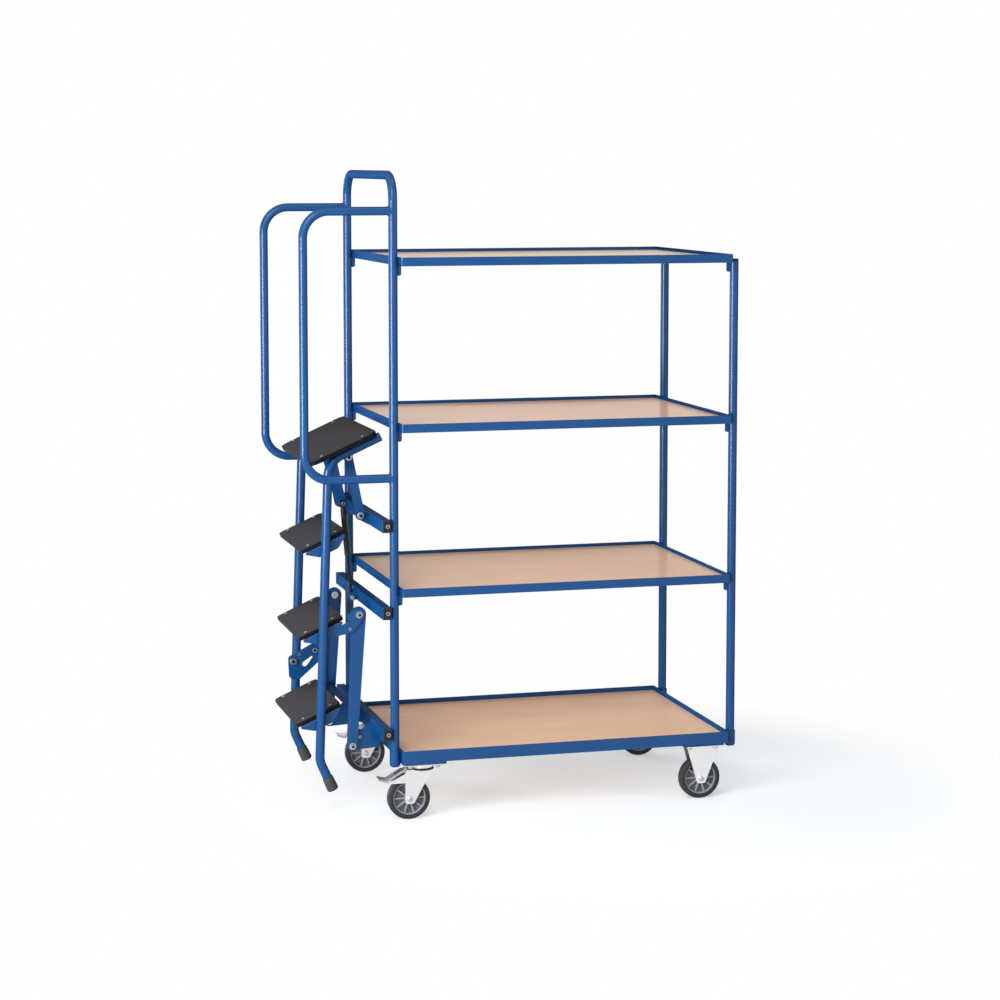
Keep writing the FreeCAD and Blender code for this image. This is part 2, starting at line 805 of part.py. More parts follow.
def gas_bracket():
    """Two cheeks and a pin on the middle crossbar for the foot of the gas spring."""
    x = -gas_low_out
    z = gas_low_height
    half = gas_eye_width / 2 + side_gap
    e = gas_cheek_edge
    pieces = []
    for y0 in (gas_side - half - gas_cheek_thick, gas_side + half):
        cheek = belt([(x, z, gas_cheek_round), (bar_outer - e, middle_bar_height - gas_cheek_reach, e),
                      (bar_outer - e, middle_bar_height + gas_cheek_reach, e)], y0, y0 + gas_cheek_thick)
        pieces.append(cheek)
    outer = half + gas_cheek_thick
    head_y = gas_side - outer - gas_bolt_high
    pieces.append(cross_rod(gas_pin_radius, x, z, head_y, gas_side + outer + gas_bolt_high))
    pieces.append(cross_rod(gas_bolt_radius, x, z, head_y, gas_side - outer))
    pieces.append(block(bar_outer - e, bar_outer, gas_side - outer, gas_side + outer,
                        middle_bar_height - gas_cheek_reach, middle_bar_height + gas_cheek_reach))
    return pieces[0].multiFuse(pieces[1:]).removeSplitter()


def lever_plate():
    """Plate hung under the platform that the gas spring's upper eye sits beside."""
    y0 = gas_side + gas_eye_width / 2 + lever_gap
    y1 = y0 + lever_thick
    r = lever_round
    plate = belt([(gas_top_ahead, gas_top_above, lever_low_radius), (lever_right, platform_under - r, r),
                  (lever_left, platform_under - r, r)], y0, y1)
    shelf = block(lever_left, lever_right, y0, y0 + lever_shelf, platform_under - lever_thick, platform_under)
    hole = cross_rod(lever_hole_radius, gas_top_ahead, gas_top_above, y0 - overrun, y1 + overrun)
    return to_rest(plate.fuse(shelf).cut(hole).removeSplitter())


# Casters, drawn about the swivel axis and then set in place
def turned_ring(inner, outer, width, corner):
    ring = cross_rod(outer, 0, 0, -width / 2, width / 2)
    if corner > 0:
        ring = ring.makeFillet(corner, [e for e in ring.Edges if e.Curve.TypeId == "Part::GeomCircle"])
    bore_half = width / 2 + overrun
    return ring.cut(cross_rod(inner, 0, 0, -bore_half, bore_half))


def wheel_core():
    rim = turned_ring(rim_inner, tyre_inner - weld_gap, rim_width, 0)
    web = turned_ring(hub_radius - spoke_root, rim_inner + spoke_root, web_width, 0)
    hub = turned_ring(axle_radius + running_gap, hub_radius, hub_width, 0)
    half_depth = spoke_depth / 2
    half_width = spoke_width / 2
    root = hub_radius - spoke_root
    tip = rim_inner + spoke_root
    spoke = block(root, tip, -half_depth, half_depth, -half_width, half_width)
    spokes = []
    for i in range(spoke_count):
        arm = spoke.copy()
        arm.rotate(point(0, 0, 0), point(0, 1, 0), i * 360.0 / spoke_count)
        spokes.append(arm)
    core = rim.multiFuse([web, hub] + spokes)
    bore_half = hub_width / 2 + overrun
    return core.cut(cross_rod(axle_radius + running_gap, 0, 0, -bore_half, bore_half)).removeSplitter()


def tyre():
    return turned_ring(tyre_inner, wheel_radius, wheel_width, tyre_round)


def fork_pair(circles):
    outer = fork_inner + fork_thick
    return [belt(circles, -outer, -fork_inner), belt(circles, fork_inner, outer)]


def fork_legs(x, ahead, behind, shoulder):
    """Two side plates from a flat foot round the axle at x up to their shoulders."""
    foot = wheel_radius - fork_foot_drop
    feet = [(x - fork_foot_half, foot, fork_foot_round), (x + fork_foot_half, foot, fork_foot_round)]
    return fork_pair(feet + [(ahead, shoulder, fork_round), (-behind, shoulder, fork_round)])


def axle(x):
    outer = fork_inner + fork_thick
    shaft = cross_rod(axle_radius, x, wheel_radius, -outer - axle_head_high, outer + axle_head_high)
    heads = [cross_rod(axle_head_radius, x, wheel_radius, -outer - axle_head_high, -outer),
             cross_rod(axle_head_radius, x, wheel_radius, outer, outer + axle_head_high)]
    return [shaft] + heads


def swivel_fork():
    outer = fork_inner + fork_thick
    legs = fork_legs(-caster_trail, fork_ahead, fork_behind, wheel_top + fork_shoulder_rise)
    low = wheel_top - wing_tip_drop
    wings = fork_pair([(-wing_tip_behind, low, wing_round), (-wing_root_behind, low, wing_round),
                       (-wing_root_behind, wheel_top + wing_top_rise, wing_round)])
    bridge = block(-fork_behind + fork_round, fork_ahead, -outer, outer, crown_low - fork_thick, crown_low)
    crown = upright_rod(crown_radius, 0, 0, crown_low - fork_thick, crown_high)
    pin = cross_rod(pedal_pin_radius, -pedal_behind, pedal_height, -outer, outer)
    window_low = crown_low - fork_thick - overrun
    window = block(-fork_behind - overrun, -crown_radius, -fork_inner, fork_inner, window_low, crown_high)
    fork = crown.fuse(bridge).cut(window).multiFuse(legs + wings + [pin] + axle(-caster_trail))
    hole = king_pin_radius + running_gap
    return fork.cut(upright_rod(hole, 0, 0, window_low, crown_high + overrun)).removeSplitter()


def fixed_fork():
    outer = fork_inner + fork_thick
    legs = fork_legs(0, fixed_fork_ahead, fixed_fork_behind, wheel_top + fixed_shoulder_rise)
    bridge = block(-fixed_fork_behind, fixed_fork_ahead, -outer, outer, plate_low - fork_thick, plate_low)
    return bridge.multiFuse(legs + axle(0)).removeSplitter()


def top_plate(swivel):
    plate = rounded_block(plate_half_x, plate_half_y, plate_low, plate_high, plate_corner, 0, 0)
    if swivel:
        nut_high = crown_low - fork_thick - side_gap
        plate = plate.fuse(upright_rod(king_pin_radius, 0, 0, nut_high, plate_low))
        plate = plate.fuse(upright_rod(king_nut_radius, 0, 0, nut_high - king_nut_high, nut_high))
    return plate.removeSplitter()


def pedal():
    """Brake lever between the fork's plates, with a wider lip that turns up at its end."""
    half = fork_inner - pedal_side_gap
    knee = (-pedal_knee_behind, wheel_top + pedal_knee_rise, pedal_thick_half)
    tip = (-pedal_tip_behind, wheel_top - pedal_tip_drop, pedal_thick_half)
    end = (-pedal_lip_behind, wheel_top - pedal_lip_drop, pedal_lip_half)
    eye = (-pedal_behind, pedal_height, pedal_eye)
    neck = belt([eye, knee], -half, half)
    arm = belt([tip, knee], -half, half)
    lip = belt([end, tip], -pedal_tread_half_width, pedal_tread_half_width)
    body = neck.fuse(arm).fuse(lip)
    hole = pedal_pin_radius + running_gap
    bore = cross_rod(hole, -pedal_behind, pedal_height, -half - overrun, half + overrun)
    return body.cut(bore).removeSplitter()


def placed(shape, x, y, z):
    moved = shape.copy()
    moved.translate(point(x, y, z))
    return moved


# Write every piece
save("push_handle_tube", handle_tube())
save("right_posts", right_post(-1), right_post(1))
save("post_caps", post_cap(-1), post_cap(1))
save("deck_frame_bottom", bottom_frame())
save("deck_panel_bottom", deck_panel(bottom_deck_top, bottom_rail_height, bottom_panel_thick))
for level, word in ((1, "second"), (2, "third"), (3, "top")):
    deck_top = bottom_deck_top + deck_step * level
    save("deck_frame_" + word, upper_frame(deck_top))
    save("deck_panel_" + word, deck_panel(deck_top, rail_height, panel_thick))
save("handrail_front", handrail())
save("handrail_back", other_side(handrail()))
bar_heights = (upper_bar_height, middle_bar_height, lower_bar_height)
for height, word in zip(bar_heights, ("upper", "middle", "lower")):
    save("crossbar_" + word, crossbar(height))
save("crossbar_caps", *[crossbar_cap(height, side) for height in bar_heights for side in (-1, 1)])
save("upper_link_lugs", upper_lug(), other_side(upper_lug()))
save("lower_link_brackets", lower_bracket(), other_side(lower_bracket()))
save("lower_pivot_bolts", lower_pivot_bolt(), other_side(lower_pivot_bolt()))
save("gas_spring_bracket", gas_bracket())
save("lower_link_front", lower_link())
save("lower_link_back", other_side(lower_link()))
save("lower_link_brace", lower_link_brace())
save("upper_link_front", upper_link())
save("upper_link_back", other_side(upper_link()))
save("upper_link_pins", upper_link_pin(), other_side(upper_link_pin()))
save("ladder_stringer_front", stringer())
save("ladder_stringer_back", other_side(stringer()))
save("ladder_feet", ladder_foot(), other_side(ladder_foot()))
save("ladder_platform_board", platform_board())
for index, word in ((0, "low"), (1, "middle"), (2, "high")):
    save("ladder_step_" + word, step_board(index))
for index, word in ((0, "low"), (2, "high")):
    save("step_brackets_" + word, step_bracket(index), other_side(step_bracket(index)))
save("ladder_arm_front", ladder_arm())
save("ladder_arm_back", other_side(ladder_arm()))
save("ladder_pivot_bolts", ladder_pivot_bolt(), other_side(ladder_pivot_bolt()))
save("platform_lugs", platform_lug(), other_side(platform_lug()))
save("platform_lug_bolts", link_top_bolt(), other_side(link_top_bolt()))
save("lock_plate", lock_plate())
save("gas_lever_plate", lever_plate())
save("gas_spring_rod", gas_rod())
save("gas_spring_cylinder", gas_cylinder())
core_shape = wheel_core()
tyre_shape = tyre()
for side, word in ((-1, "front"), (1, "back")):
    swivel_y = side * caster_in_y
    fixed_y = side * fixed_in_y
    save("swivel_fork_" + word, placed(swivel_fork(), -caster_in_x, swivel_y, 0))
    save("brake_pedal_" + word, placed(pedal(), -caster_in_x, swivel_y, 0))
    save("fixed_fork_" + word, placed(fixed_fork(), fixed_in_x, fixed_y, 0))
    for x, y, place in ((-caster_in_x - caster_trail, swivel_y, "left"), (fixed_in_x, fixed_y, "right")):
        save("wheel_core_" + place + "_" + word, placed(core_shape, x, y, wheel_radius))
        save("tyre_" + place + "_" + word, placed(tyre_shape, x, y, wheel_radius))
swivel_plates = [placed(top_plate(True), -caster_in_x, side * caster_in_y, 0) for side in (-1, 1)]
fixed_plates = [placed(top_plate(False), fixed_in_x, side * fixed_in_y, 0) for side in (-1, 1)]
save("caster_plates", *(swivel_plates + fixed_plates))
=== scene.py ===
"""Looks of an order picking trolley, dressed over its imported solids."""
import json
import math

import bmesh
import bpy
from bpy.props import FloatProperty, FloatVectorProperty, IntProperty, PointerProperty
from mathutils import Matrix, Vector


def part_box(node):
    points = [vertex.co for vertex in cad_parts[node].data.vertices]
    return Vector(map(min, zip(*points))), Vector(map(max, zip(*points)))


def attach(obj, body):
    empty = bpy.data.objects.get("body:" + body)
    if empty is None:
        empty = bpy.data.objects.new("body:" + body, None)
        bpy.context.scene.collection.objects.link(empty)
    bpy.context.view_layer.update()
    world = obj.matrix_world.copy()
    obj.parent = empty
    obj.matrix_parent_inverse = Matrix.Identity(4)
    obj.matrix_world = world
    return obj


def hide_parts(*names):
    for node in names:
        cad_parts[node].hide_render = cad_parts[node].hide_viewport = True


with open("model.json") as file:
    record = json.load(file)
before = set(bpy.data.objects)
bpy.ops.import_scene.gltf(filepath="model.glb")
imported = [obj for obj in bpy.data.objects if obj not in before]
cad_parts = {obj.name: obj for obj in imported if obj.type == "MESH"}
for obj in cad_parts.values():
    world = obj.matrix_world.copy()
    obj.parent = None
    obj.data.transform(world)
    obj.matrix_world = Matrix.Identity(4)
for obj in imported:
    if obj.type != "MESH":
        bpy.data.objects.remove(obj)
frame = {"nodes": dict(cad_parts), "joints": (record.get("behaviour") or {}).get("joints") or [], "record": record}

bl_info = {
    "name": "Order picking trolley",
    "version": (1, 0, 0),
    "blender": (4, 5, 0),
    "location": "View3D > Sidebar > Trolley",
    "description": "Finishes, fasteners and boards of a deck trolley with a swing-down ladder",
    "category": "Object",
}

NODES = frame["nodes"]
JOINTS = {joint["name"]: joint for joint in frame["joints"]}
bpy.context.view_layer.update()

FULL_TURN = 2 * math.pi
QUARTER_TURN = math.pi / 2
LAID_DOWN = (QUARTER_TURN, 0.0, 0.0)
UP = (0.0, 0.0, 1.0)
TINY = 1e-6
SIDES = (-1, 1)
WHEELS = ("left_front", "left_back", "right_front", "right_back")
CROSSBARS = ("crossbar_upper", "crossbar_middle", "crossbar_lower")

DECK_LOW, DECK_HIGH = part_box("deck_panel_top")
MIDDLE_X = (DECK_LOW[0] + DECK_HIGH[0]) / 2

# The ladder's boards, feet and heads are drawn with its steps level, and TO_REST leans them into place.
LADDER_LEAN = math.radians(24.2)
LADDER_PIVOT = Vector(JOINTS["ladder_swing"]["pos_m"])
LEVEL_PIVOT = Vector((0.2865, 0.0, 0.4332))
LEAN = Matrix.Rotation(-LADDER_LEAN, 4, "Y")
TO_REST = Matrix.Translation(LADDER_PIVOT) @ LEAN @ Matrix.Translation(-LEVEL_PIVOT)

# Kinds of node sockets
NUMBER = "NodeSocketFloat"
COUNT = "NodeSocketInt"
COLOUR = "NodeSocketColor"
VECTOR = "NodeSocketVector"
GEOMETRY = "NodeSocketGeometry"
MATERIAL = "NodeSocketMaterial"

# Places of the colour sockets of a Mix node and of the plain number of a Random Value node
MIX_FIRST, MIX_SECOND, MIX_RESULT = 6, 7, 2
RANDOM_NUMBER = 1

# Colours of the small dark and bright parts; the edge black is also painted shade inside the bolt sockets
EDGE_AND_SOCKET_SHADE_BLACK = (0.008, 0.008, 0.009)
BOLT_GREY = (0.46, 0.47, 0.49)
CAP_BLACK = (0.009, 0.009, 0.011)
LACQUER_BLACK = (0.010, 0.010, 0.011)
ROD_BLACK = (0.010, 0.010, 0.012)
WHITE = (1, 1, 1, 1)


class TrolleyFinish(bpy.types.PropertyGroup):
    """Colours and gloss of the trolley's finishes."""

    paint: FloatVectorProperty(
        name="Blue coat", description="Colour of the powder coat",
        subtype="COLOR", min=0, max=1, default=(0.0055, 0.058, 0.188))
    paint_rough: FloatProperty(
        name="Coat roughness", description="Mean roughness of the powder coat", min=0, max=1, default=0.30)
    beech: FloatVectorProperty(
        name="Beech", description="Colour of the deck boards",
        subtype="COLOR", min=0, max=1, default=(0.86, 0.590, 0.413))
    film: FloatVectorProperty(
        name="Tread film", description="Colour of the anti-slip film on the steps",
        subtype="COLOR", min=0, max=1, default=(0.061, 0.058, 0.063))
    zinc: FloatVectorProperty(
        name="Zinc", description="Colour of plated steel",
        subtype="COLOR", min=0, max=1, default=(0.80, 0.79, 0.785))
    core: FloatVectorProperty(
        name="Wheel rim", description="Colour of the wheels' rims, hubs and spokes",
        subtype="COLOR", min=0, max=1, default=(0.23, 0.255, 0.30))
    # Web: a darker tone of the rim's plastic, painted shade in the recessed webs of the wheels
    web: FloatVectorProperty(
        name="Wheel web", description="Colour of the recessed webs of the wheels",
        subtype="COLOR", min=0, max=1, default=(0.098, 0.090, 0.092))
    pedal: FloatVectorProperty(
        name="Pedal", description="Colour of the pressed brake pedals",
        subtype="COLOR", min=0, max=1, default=(0.46, 0.46, 0.47))
    tyre: FloatVectorProperty(
        name="Tyre", description="Colour of the tyres",
        subtype="COLOR", min=0, max=1, default=(0.021, 0.021, 0.024))
    foot: FloatVectorProperty(
        name="Foot rubber", description="Colour of the ladder's feet",
        subtype="COLOR", min=0, max=1, default=(0.055, 0.052, 0.056))


class TrolleyFittings(bpy.types.PropertyGroup):
    """Sizes of the boards and fasteners."""

    board_bevel: FloatProperty(
        name="Board edge", description="Rounding of the board edges", unit="LENGTH", min=0, default=0.0018)
    rivet_radius: FloatProperty(
        name="Rivet radius", description="Radius of the board rivets", unit="LENGTH", min=0, default=0.0048)
    rivet_height: FloatProperty(
        name="Rivet height", description="Height of the board rivets", unit="LENGTH", min=0, default=0.0016)
    head_radius: FloatProperty(
        name="Head radius", description="Radius of the pivot bolt heads",
        unit="LENGTH", min=0, default=0.0088)
    head_height: FloatProperty(
        name="Head height", description="Height of the pivot bolt heads",
        unit="LENGTH", min=0, default=0.0055)
    weld_radius: FloatProperty(
        name="Weld size", description="Radius of the weld beads", unit="LENGTH", min=0, default=0.0022)
    pedal_ribs: IntProperty(
        name="Pedal ribs", description="Grip ribs on each brake pedal", min=1, default=5)
    spokes: IntProperty(name="Spokes", description="Spokes of each wheel", min=3, default=10)
    spoke_width: FloatProperty(
        name="Spoke width", description="Width of the wheel spokes", unit="LENGTH", min=0, default=0.0042)


class TrolleyStudio(bpy.types.PropertyGroup):
    """Camera and lights."""

    lens: FloatProperty(name="Lens", description="Focal length in millimetres", min=1, default=91.763)
    camera_place: FloatVectorProperty(
        name="Camera place", description="Where the camera stands",
        subtype="TRANSLATION", default=(-2.0145, -7.3871, 1.9106))
    camera_yaw: FloatProperty(
        name="Camera yaw", description="Turn towards the far end of the decks",
        subtype="ANGLE", default=math.radians(15.355))
    camera_pitch: FloatProperty(
        name="Camera pitch", description="Downward tilt of the camera",
        subtype="ANGLE", default=math.radians(5.8305))
    shift_y: FloatProperty(
        name="Vertical shift", description="Lens shift of the photograph's framing", default=-0.08)
    ambient: FloatProperty(
        name="Ambient", description="Strength of the soft room light", min=0, default=0.25)
    key: FloatProperty(
        name="Key light", description="Power of the high front light in watts", min=0, default=192)
    side: FloatProperty(
        name="Side light", description="Power of the low left light in watts", min=0, default=260)
    fill: FloatProperty(
        name="Fill light", description="Power of the right light in watts", min=0, default=32)
    back: FloatProperty(
        name="Back light", description="Power of the light behind in watts", min=0, default=150)
    top: FloatProperty(
        name="Top light", description="Power of the overhead light in watts", min=0, default=18)


# Node building

def put(tree, kind, inputs=None, **settings):
    """Adds a node, sets its properties, and links or sets its inputs."""
    node = tree.nodes.new(kind)
    for name, value in settings.items():
        setattr(node, name, value)
    for name, value in (inputs or {}).items():
        if hasattr(value, "is_output"):
            tree.links.new(value, node.inputs[name])
        else:
            node.inputs[name].default_value = value
    return node


def output(tree, kind, inputs=None, **settings):
    """First output of a new node."""
    return put(tree, kind, inputs, **settings).outputs[0]


def calculate(tree, operation, *values):
    """Output of a Math node on numbers or sockets."""
    return output(tree, "ShaderNodeMath", dict(enumerate(values)), operation=operation)


def blended(tree, first, second, first_share):
    """Output of the weighed sum of two values."""
    rest = calculate(tree, "MULTIPLY", second, 1 - first_share)
    return calculate(tree, "MULTIPLY_ADD", first, first_share, rest)


def map_range(tree, value, source=(0.0, 1.0), target=(0.0, 1.0), **settings):
    """Output of a Map Range node from one span of values to another."""
    spans = {"Value": value, "From Min": source[0], "From Max": source[1],
             "To Min": target[0], "To Max": target[1]}
    return output(tree, "ShaderNodeMapRange", spans, **settings)


def noise(tree, scale, detail, **more):
    """Output of a Noise Texture, with further inputs by their names."""
    return output(tree, "ShaderNodeTexNoise", {"Scale": scale, "Detail": detail, **more})


def mix_colours(tree, share, first, second):
    """Output of a Mix node between two colours."""
    inputs = {"Factor": share, MIX_FIRST: first, MIX_SECOND: second}
    return put(tree, "ShaderNodeMix", inputs, data_type="RGBA").outputs[MIX_RESULT]


def two_tones(tree, value, dark_at, dark, light_at, light):
    """Output of a colour ramp between two tones."""
    ramp = put(tree, "ShaderNodeValToRGB", {"Fac": value})
    low, high = ramp.color_ramp.elements
    low.position = dark_at
    low.color = dark
    high.position = light_at
    high.color = light
    return ramp.outputs["Color"]


def relief(tree, strength, depth, height):
    """Output of a Bump node."""
    return output(tree, "ShaderNodeBump", {"Strength": strength, "Distance": depth, "Height": height})


def new_tree(name, kind, inputs, outputs):
    """A node group with its named sockets, and the two ends that its nodes link to."""
    tree = bpy.data.node_groups.new(name, kind)
    for label, socket, default in inputs:
        item = tree.interface.new_socket(label, in_out="INPUT", socket_type=socket)
        if default is not None:
            item.default_value = default
    for label, socket in outputs:
        tree.interface.new_socket(label, in_out="OUTPUT", socket_type=socket)
    return tree, tree.nodes.new("NodeGroupInput").outputs, tree.nodes.new("NodeGroupOutput").inputs


def surface_grain_group():
    """Broad and fine mottling of a moulded, coated or plated surface."""
    tree, given, out = new_tree(
        "surface_grain", "ShaderNodeTree",
        [("Light", COLOUR, (0.5, 0.5, 0.5, 1)), ("Dark", COLOUR, (0.4, 0.4, 0.4, 1)), ("Scale", NUMBER, 40.0),
         ("Rough Low", NUMBER, 0.3), ("Rough High", NUMBER, 0.45)],
        [("Color", COLOUR), ("Roughness", NUMBER), ("Height", NUMBER)])
    where = put(tree, "ShaderNodeTexCoord").outputs["Object"]
    broad = noise(tree, scale=3.1, detail=4.0, Vector=where)
    fine = noise(tree, scale=given["Scale"], detail=3.0, Roughness=0.6, Vector=where)
    tone = map_range(tree, blended(tree, fine, broad, first_share=0.4), source=(0.32, 0.68))
    rough = map_range(tree, fine, source=(0.3, 0.7), target=(given["Rough Low"], given["Rough High"]))
    tree.links.new(mix_colours(tree, tone, given["Dark"], given["Light"]), out["Color"])
    tree.links.new(rough, out["Roughness"])
    tree.links.new(fine, out["Height"])


def settled_dust_group():
    """Thin dust on faces that look up, broken by noise."""
    tree, given, out = new_tree(
        "settled_dust", "ShaderNodeTree",
        [("Color", COLOUR, (0.5, 0.5, 0.5, 1)), ("Dust", COLOUR, (0.55, 0.54, 0.52, 1)),
         ("Amount", NUMBER, 0.1)],
        [("Color", COLOUR)])
    where = put(tree, "ShaderNodeTexCoord")
    patches = noise(tree, scale=9.0, detail=6.0, Vector=where.outputs["Object"])
    facing = put(tree, "ShaderNodeSeparateXYZ", {"Vector": where.outputs["Normal"]})
    up = map_range(tree, facing.outputs["Z"], source=(0.35, 1.0))
    mask = calculate(tree, "MULTIPLY", calculate(tree, "MULTIPLY", up, patches), given["Amount"])
    tree.links.new(mix_colours(tree, mask, given["Color"], given["Dust"]), out["Color"])


# Finishes

def rgba(colour, factor=1.0):
    """A colour made lighter or darker by a factor, with full alpha."""
    return tuple(min(1.0, c * factor) for c in colour) + (1.0,)


def toned(colour, red, green, blue):
    """A colour with a factor for each channel."""
    return rgba((colour[0] * red, colour[1] * green, colour[2] * blue))


def new_material(name, **shader):
    """A material's tree and shader, whose plain values are named with _ for a space."""
    material = bpy.data.materials.new(name)
    material.use_nodes = True
    tree = material.node_tree
    surface = tree.nodes["Principled BSDF"]
    for socket, value in shader.items():
        surface.inputs[socket.replace("_", " ")].default_value = value
    return tree, surface


def wire(tree, surface, **sockets):
    """Links outputs to the shader's inputs, which are named with _ for a space."""
    for name, socket in sockets.items():
        tree.links.new(socket, surface.inputs[name.replace("_", " ")])


def gloss_by_facing(tree, surface, facing, weight):
    """Lets the weight of the clear gloss change over a span of facing, 0 head-on and 1 at the rim."""
    turned = put(tree, "ShaderNodeLayerWeight").outputs["Facing"]
    wire(tree, surface, Coat_Weight=map_range(tree, turned, source=facing, target=weight))


def grained(name, colour, grain, rough, bump, depth, spread, dust, **shader):
    """A mottled, lightly dusted finish from the shared groups."""
    tree, surface = new_material(name, **shader)
    groups = bpy.data.node_groups
    tones = {"Light": rgba(colour, spread[0]), "Dark": rgba(colour, spread[1]), "Scale": grain,
             "Rough Low": rough[0], "Rough High": rough[1]}
    mottled = put(tree, "ShaderNodeGroup", tones, node_tree=groups["surface_grain"]).outputs
    dusty = put(tree, "ShaderNodeGroup", {"Color": mottled["Color"], "Amount": dust},
                node_tree=groups["settled_dust"]).outputs
    wire(tree, surface, Base_Color=dusty["Color"], Roughness=mottled["Roughness"],
         Normal=relief(tree, bump, depth, mottled["Height"]))
    return tree, surface


def beech_material(colour):
    """Beech decor: long soft figure with short dark flecks along the deck, and a sheen at a low angle."""
    tree, surface = new_material("beech_board", Specular_IOR_Level=0.04, Coat_Roughness=0.16)
    where = put(tree, "ShaderNodeTexCoord").outputs["Object"]
    long = output(tree, "ShaderNodeMapping", {"Vector": where, "Scale": (1.1, 16.0, 16.0)})
    short = output(tree, "ShaderNodeMapping", {"Vector": where, "Scale": (45.0, 420.0, 420.0)})
    figure = noise(tree, scale=2.4, detail=3.0, Distortion=0.4, Vector=long)
    fleck = noise(tree, scale=1.0, detail=2.0, Vector=short)
    figured = two_tones(tree, figure, dark_at=0.28, dark=toned(colour, 0.965, 0.945, 0.93),
                        light_at=0.72, light=toned(colour, 1.03, 1.04, 1.06))
    fleck_share = map_range(tree, fleck, source=(0.60, 0.72), target=(0.0, 0.10))
    flecked = mix_colours(tree, fleck_share, figured, toned(colour, 0.70, 0.58, 0.50))
    wire(tree, surface, Base_Color=flecked, Roughness=map_range(tree, figure, target=(0.42, 0.48)),
         Normal=relief(tree, strength=0.05, depth=0.0004, height=fleck))
    gloss_by_facing(tree, surface, facing=(0.78, 0.92), weight=(0.0, 0.42))


def film_material(colour):
    """Anti-slip film: a pebbled imprint with speckle and slightly worn patches."""
    tree, surface = new_material("tread_film", Specular_IOR_Level=0.0)
    where = put(tree, "ShaderNodeTexCoord").outputs["Object"]
    pebble = output(tree, "ShaderNodeTexVoronoi", {"Vector": where, "Scale": 330.0})
    speck = noise(tree, scale=700.0, detail=1.0, Vector=where)
    worn = noise(tree, scale=34.0, detail=4.0, Vector=where)
    both = blended(tree, speck, worn, first_share=0.8)
    tones = two_tones(tree, both, dark_at=0.36, dark=rgba(colour, 0.84),
                      light_at=0.64, light=rgba(colour, 1.18))
    imprint = calculate(tree, "ADD", pebble, speck)
    wire(tree, surface, Base_Color=tones,
         Roughness=map_range(tree, both, source=(0.3, 0.7), target=(0.72, 0.56)),
         Normal=relief(tree, strength=0.22, depth=0.0004, height=imprint))


def finish(name):
    """The finished material of a name."""
    return bpy.data.materials[name]


# Mesh building

def add_to_scene(name, data):
    """A new object in the scene."""
    item = bpy.data.objects.new(name, data)
    bpy.context.scene.collection.objects.link(item)
    return item


def add_piece(name, mesh, body, smooth=40.0):
    """Puts a finished mesh in the scene and lets it ride on its body."""
    for face in mesh.polygons:
        face.use_smooth = True
    mesh.set_sharp_from_angle(angle=math.radians(smooth))
    piece = add_to_scene(name, mesh)
    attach(piece, body)
    return piece


def add_shape(name, shape, body, slot, *finishes, smooth=40.0):
    """Turns a shape into a piece of a body, with its finishes in order."""
    bmesh.ops.recalc_face_normals(shape, faces=shape.faces)
    mesh = bpy.data.meshes.new(name)
    shape.to_mesh(mesh)
    shape.free()
    for label in finishes:
        mesh.materials.append(finish(label))
    return add_piece(name, mesh, body, smooth)


def ring_point(radius, angle, height):
    """A point of a ring about local Z."""
    return Vector((radius * math.cos(angle), radius * math.sin(angle), height))


def lathe(shape, profile, place, steps):
    """Closed body of revolution about local Z from (radius, height) points, placed by a matrix."""
    turn = FULL_TURN / steps
    rings = []
    for radius, height in profile:
        count = 1 if radius < TINY else steps
        rings.append([shape.verts.new(place @ ring_point(radius, i * turn, height)) for i in range(count)])
    for low, high in zip(rings, rings[1:] + rings[:1]):
        if len(low) == 1 and len(high) == 1:
            continue
        for i in range(steps):
            j = (i + 1) % steps
            corners = [low[i % len(low)], low[j % len(low)], high[j % len(high)], high[i % len(high)]]
            shape.faces.new(list(dict.fromkeys(corners)))


def socket_bolt(shape, place, radius, height):
    """Round head with a hexagon socket, standing on local Z; the socket takes the second finish, a black that
    paints the shade inside it.
    """
    steps = 36
    socket, crown = radius * 0.46, radius * 0.88
    shoulder, floor = height * 0.7, height * 0.3
    rims = [(radius, 0.0, False), (radius, shoulder, False), (crown, height, False),
            (socket, height, True), (socket, floor, True)]
    rings = []
    for reach, level, six_sided in rims:
        ring = []
        for i in range(steps):
            angle = FULL_TURN * i / steps
            out = reach / math.cos(angle % (math.pi / 3) - math.pi / 6) if six_sided else reach
            ring.append(shape.verts.new(place @ ring_point(out, angle, level)))
        rings.append(ring)
    # The socket's walls and floor take the black second finish as painted shade
    for low, high in zip(rings, rings[1:]):
        for i in range(steps):
            j = (i + 1) % steps
            face = shape.faces.new((low[i], low[j], high[j], high[i]))
            face.material_index = 1 if high is rings[-1] else 0
    shape.faces.new(rings[-1]).material_index = 1
    shape.faces.new(rings[0][::-1])


def aim_z(place, direction):
    """Matrix that stands local Z along a direction at a place."""
    return Matrix.Translation(place) @ Vector(direction).to_track_quat("Z", "Y").to_matrix().to_4x4()


def rounded_outline(half_x, half_y, corner):
    """Points of a rectangle about the origin with round corners."""
    steps = 6
    points = []
    for side_x, side_y, start in ((1, 1, 0), (-1, 1, 90), (-1, -1, 180), (1, -1, 270)):
        for i in range(steps + 1):
            angle = math.radians(start + 90 * i / steps)
            x = side_x * (half_x - corner) + corner * math.cos(angle)
            y = side_y * (half_y - corner) + corner * math.sin(angle)
            points.append((x, y))
    return points


# Geometry node sets

def geometry_tree(name, sizes):
    """A geometry tree that takes a mesh, its named sizes and a material."""
    inputs = [("Geometry", GEOMETRY, None)] + sizes + [("Material", MATERIAL, None)]
    return new_tree(name, "GeometryNodeTree", inputs, [("Geometry", GEOMETRY)])


